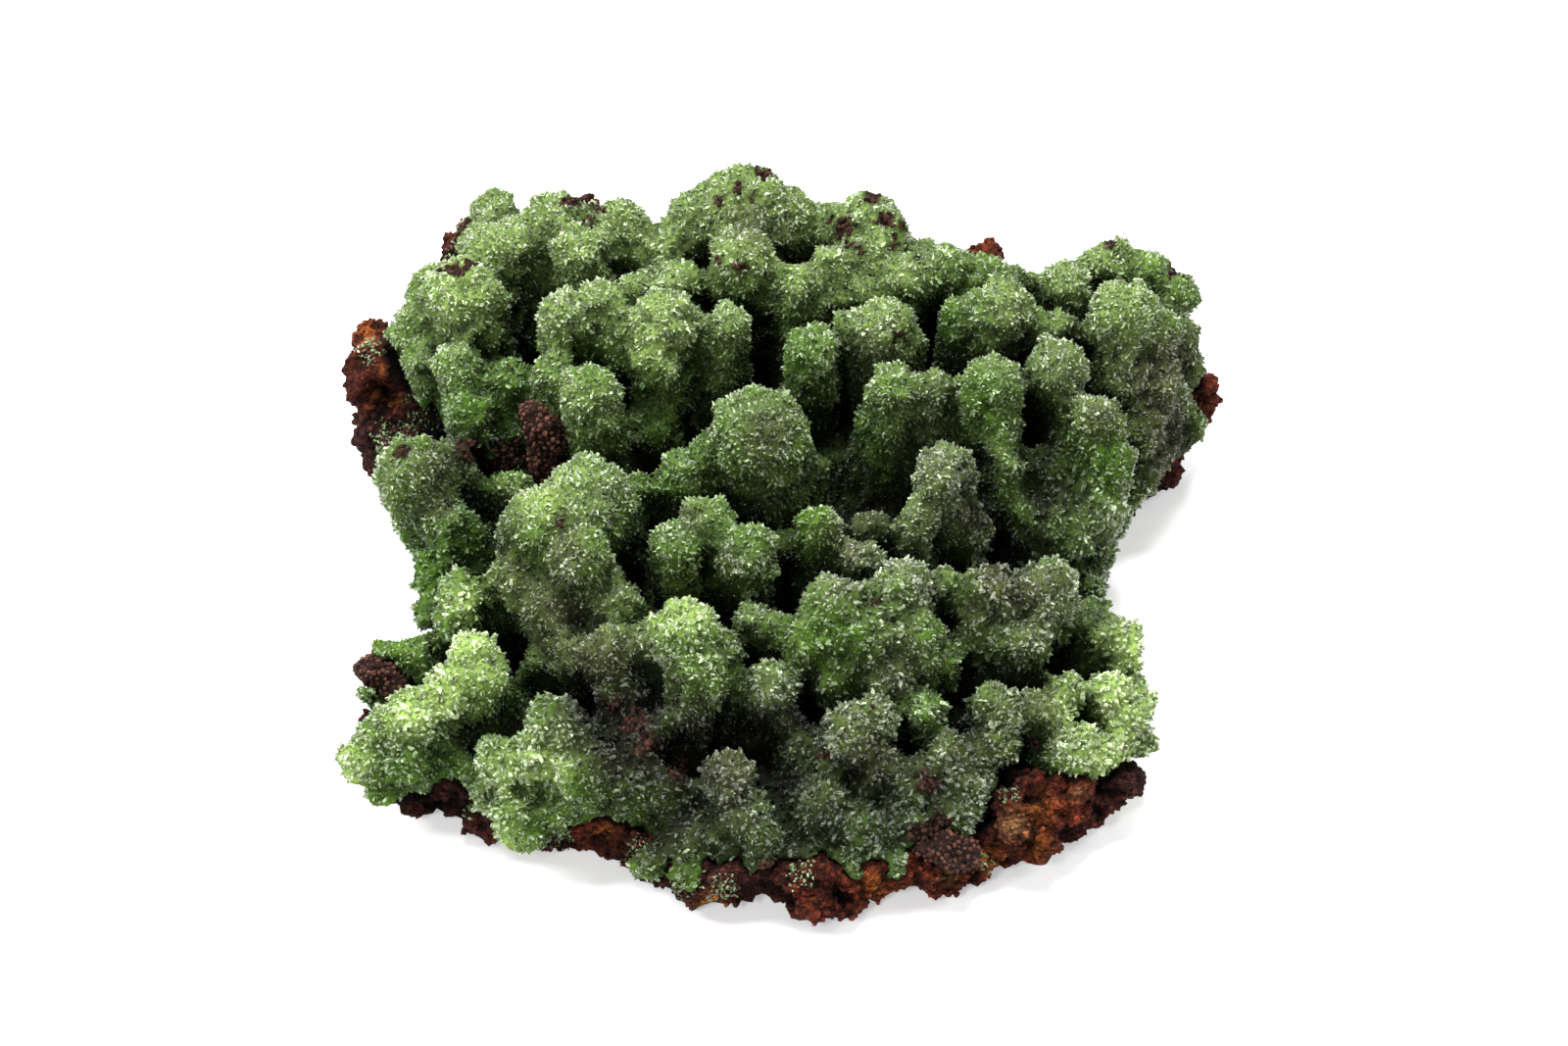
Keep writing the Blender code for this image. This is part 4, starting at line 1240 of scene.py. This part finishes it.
def grow_granules(druse, knobs, specks, finish):
    """Granules of goethite all over the knobs, and in small specks on the druse."""
    tree, shapes = grain_tree("granule", GRANULE_WIDTH, 5.0, finish)
    inputs = {"Spacing": SPECK_SPACING * MM, "Lean": math.pi, "Smallest": 0.55, "Largest": 1.1}
    dull = np.full(len(specks), SPECK_OPENNESS)
    pieces = [grow_on(druse, "goethite_specks", tree, inputs, growth=specks, open=dull)]
    inputs |= {"Spacing": GRANULE_SPACING * MM, "Smallest": 0.6}
    for node, knob in knobs.items():
        pieces.append(grow_on(knob, "granules_" + node, tree, inputs))
    discard(shapes)
    return pieces


def shade(piece, smooth):
    piece.data.polygons.foreach_set("use_smooth", [smooth] * len(piece.data.polygons))
    piece.data.update()


def add_floor():
    bm = bmesh.new()
    bmesh.ops.create_grid(bm, x_segments=1, y_segments=1, size=2.0)
    floor = new_object("floor", mesh_from(bm, "floor"))
    floor.data.materials.append(floor_material())


def add_studio():
    world = bpy.data.worlds.new("studio")
    bpy.context.scene.world = world
    world.use_nodes = True
    ground = world.node_tree.nodes["Background"]
    ground.inputs["Color"].default_value = (1, 1, 1, 1)
    ground.inputs["Strength"].default_value = WORLD_GLOW
    for name, place, size, power in LAMPS:
        lamp = bpy.data.lights.new(name, "AREA")
        lamp.shape = "RECTANGLE"
        lamp.size, lamp.size_y = size
        lamp.energy = power
        made = new_object(name, lamp)
        made.location = place
        sight = Vector(LAMP_AIM) - Vector(place)
        made.rotation_euler = sight.to_track_quat("-Z", "Y").to_euler()
    bpy.context.scene.view_settings.view_transform = "Standard"


def add_camera():
    aim_depth = -SIGHT_DATUM / math.sin(SIGHT_ANGLE) - AIM_HEIGHT + ORIGIN[1]
    aim = Vector((ORIGIN[0], aim_depth, AIM_HEIGHT)) * MM
    back = Vector(TO_VIEWER)
    lens = bpy.data.cameras.new("camera")
    lens.lens = LENS
    lens.sensor_width = SENSOR
    lens.clip_end = 20
    camera = new_object("camera", lens)
    camera.location = aim + back * VIEW_WIDTH * MM * LENS / SENSOR
    camera.rotation_euler = (-back).to_track_quat("-Z", "Y").to_euler()
    bpy.context.scene.camera = camera


def main():
    add_camera()
    add_studio()
    add_floor()
    rock = build_rock()
    knobs, goethite = build_knobs()
    druse = build_druse(rock, knobs.values())
    specks = spot_share(druse.data, SPECKS)
    growth = store_growth(druse, rock, specks)
    bare = store_rock(rock, druse)
    crystals = grow_crystals(druse, growth * (1 - specks), rock, bare)
    granules = grow_granules(druse, knobs, specks * (growth > 0), goethite)
    crumbs = grow_crumbs(rock, bare)
    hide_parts("matrix")
    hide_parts("austinite_crust")
    for node, knob in knobs.items():
        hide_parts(node)
    for piece in [rock, druse, *knobs.values()]:
        shade(piece, True)
    for piece in [*crystals, *granules, crumbs]:
        shade(piece, False)
    for piece in [rock, crumbs, druse, *crystals, *knobs.values(), *granules]:
        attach(piece, "root")


main()
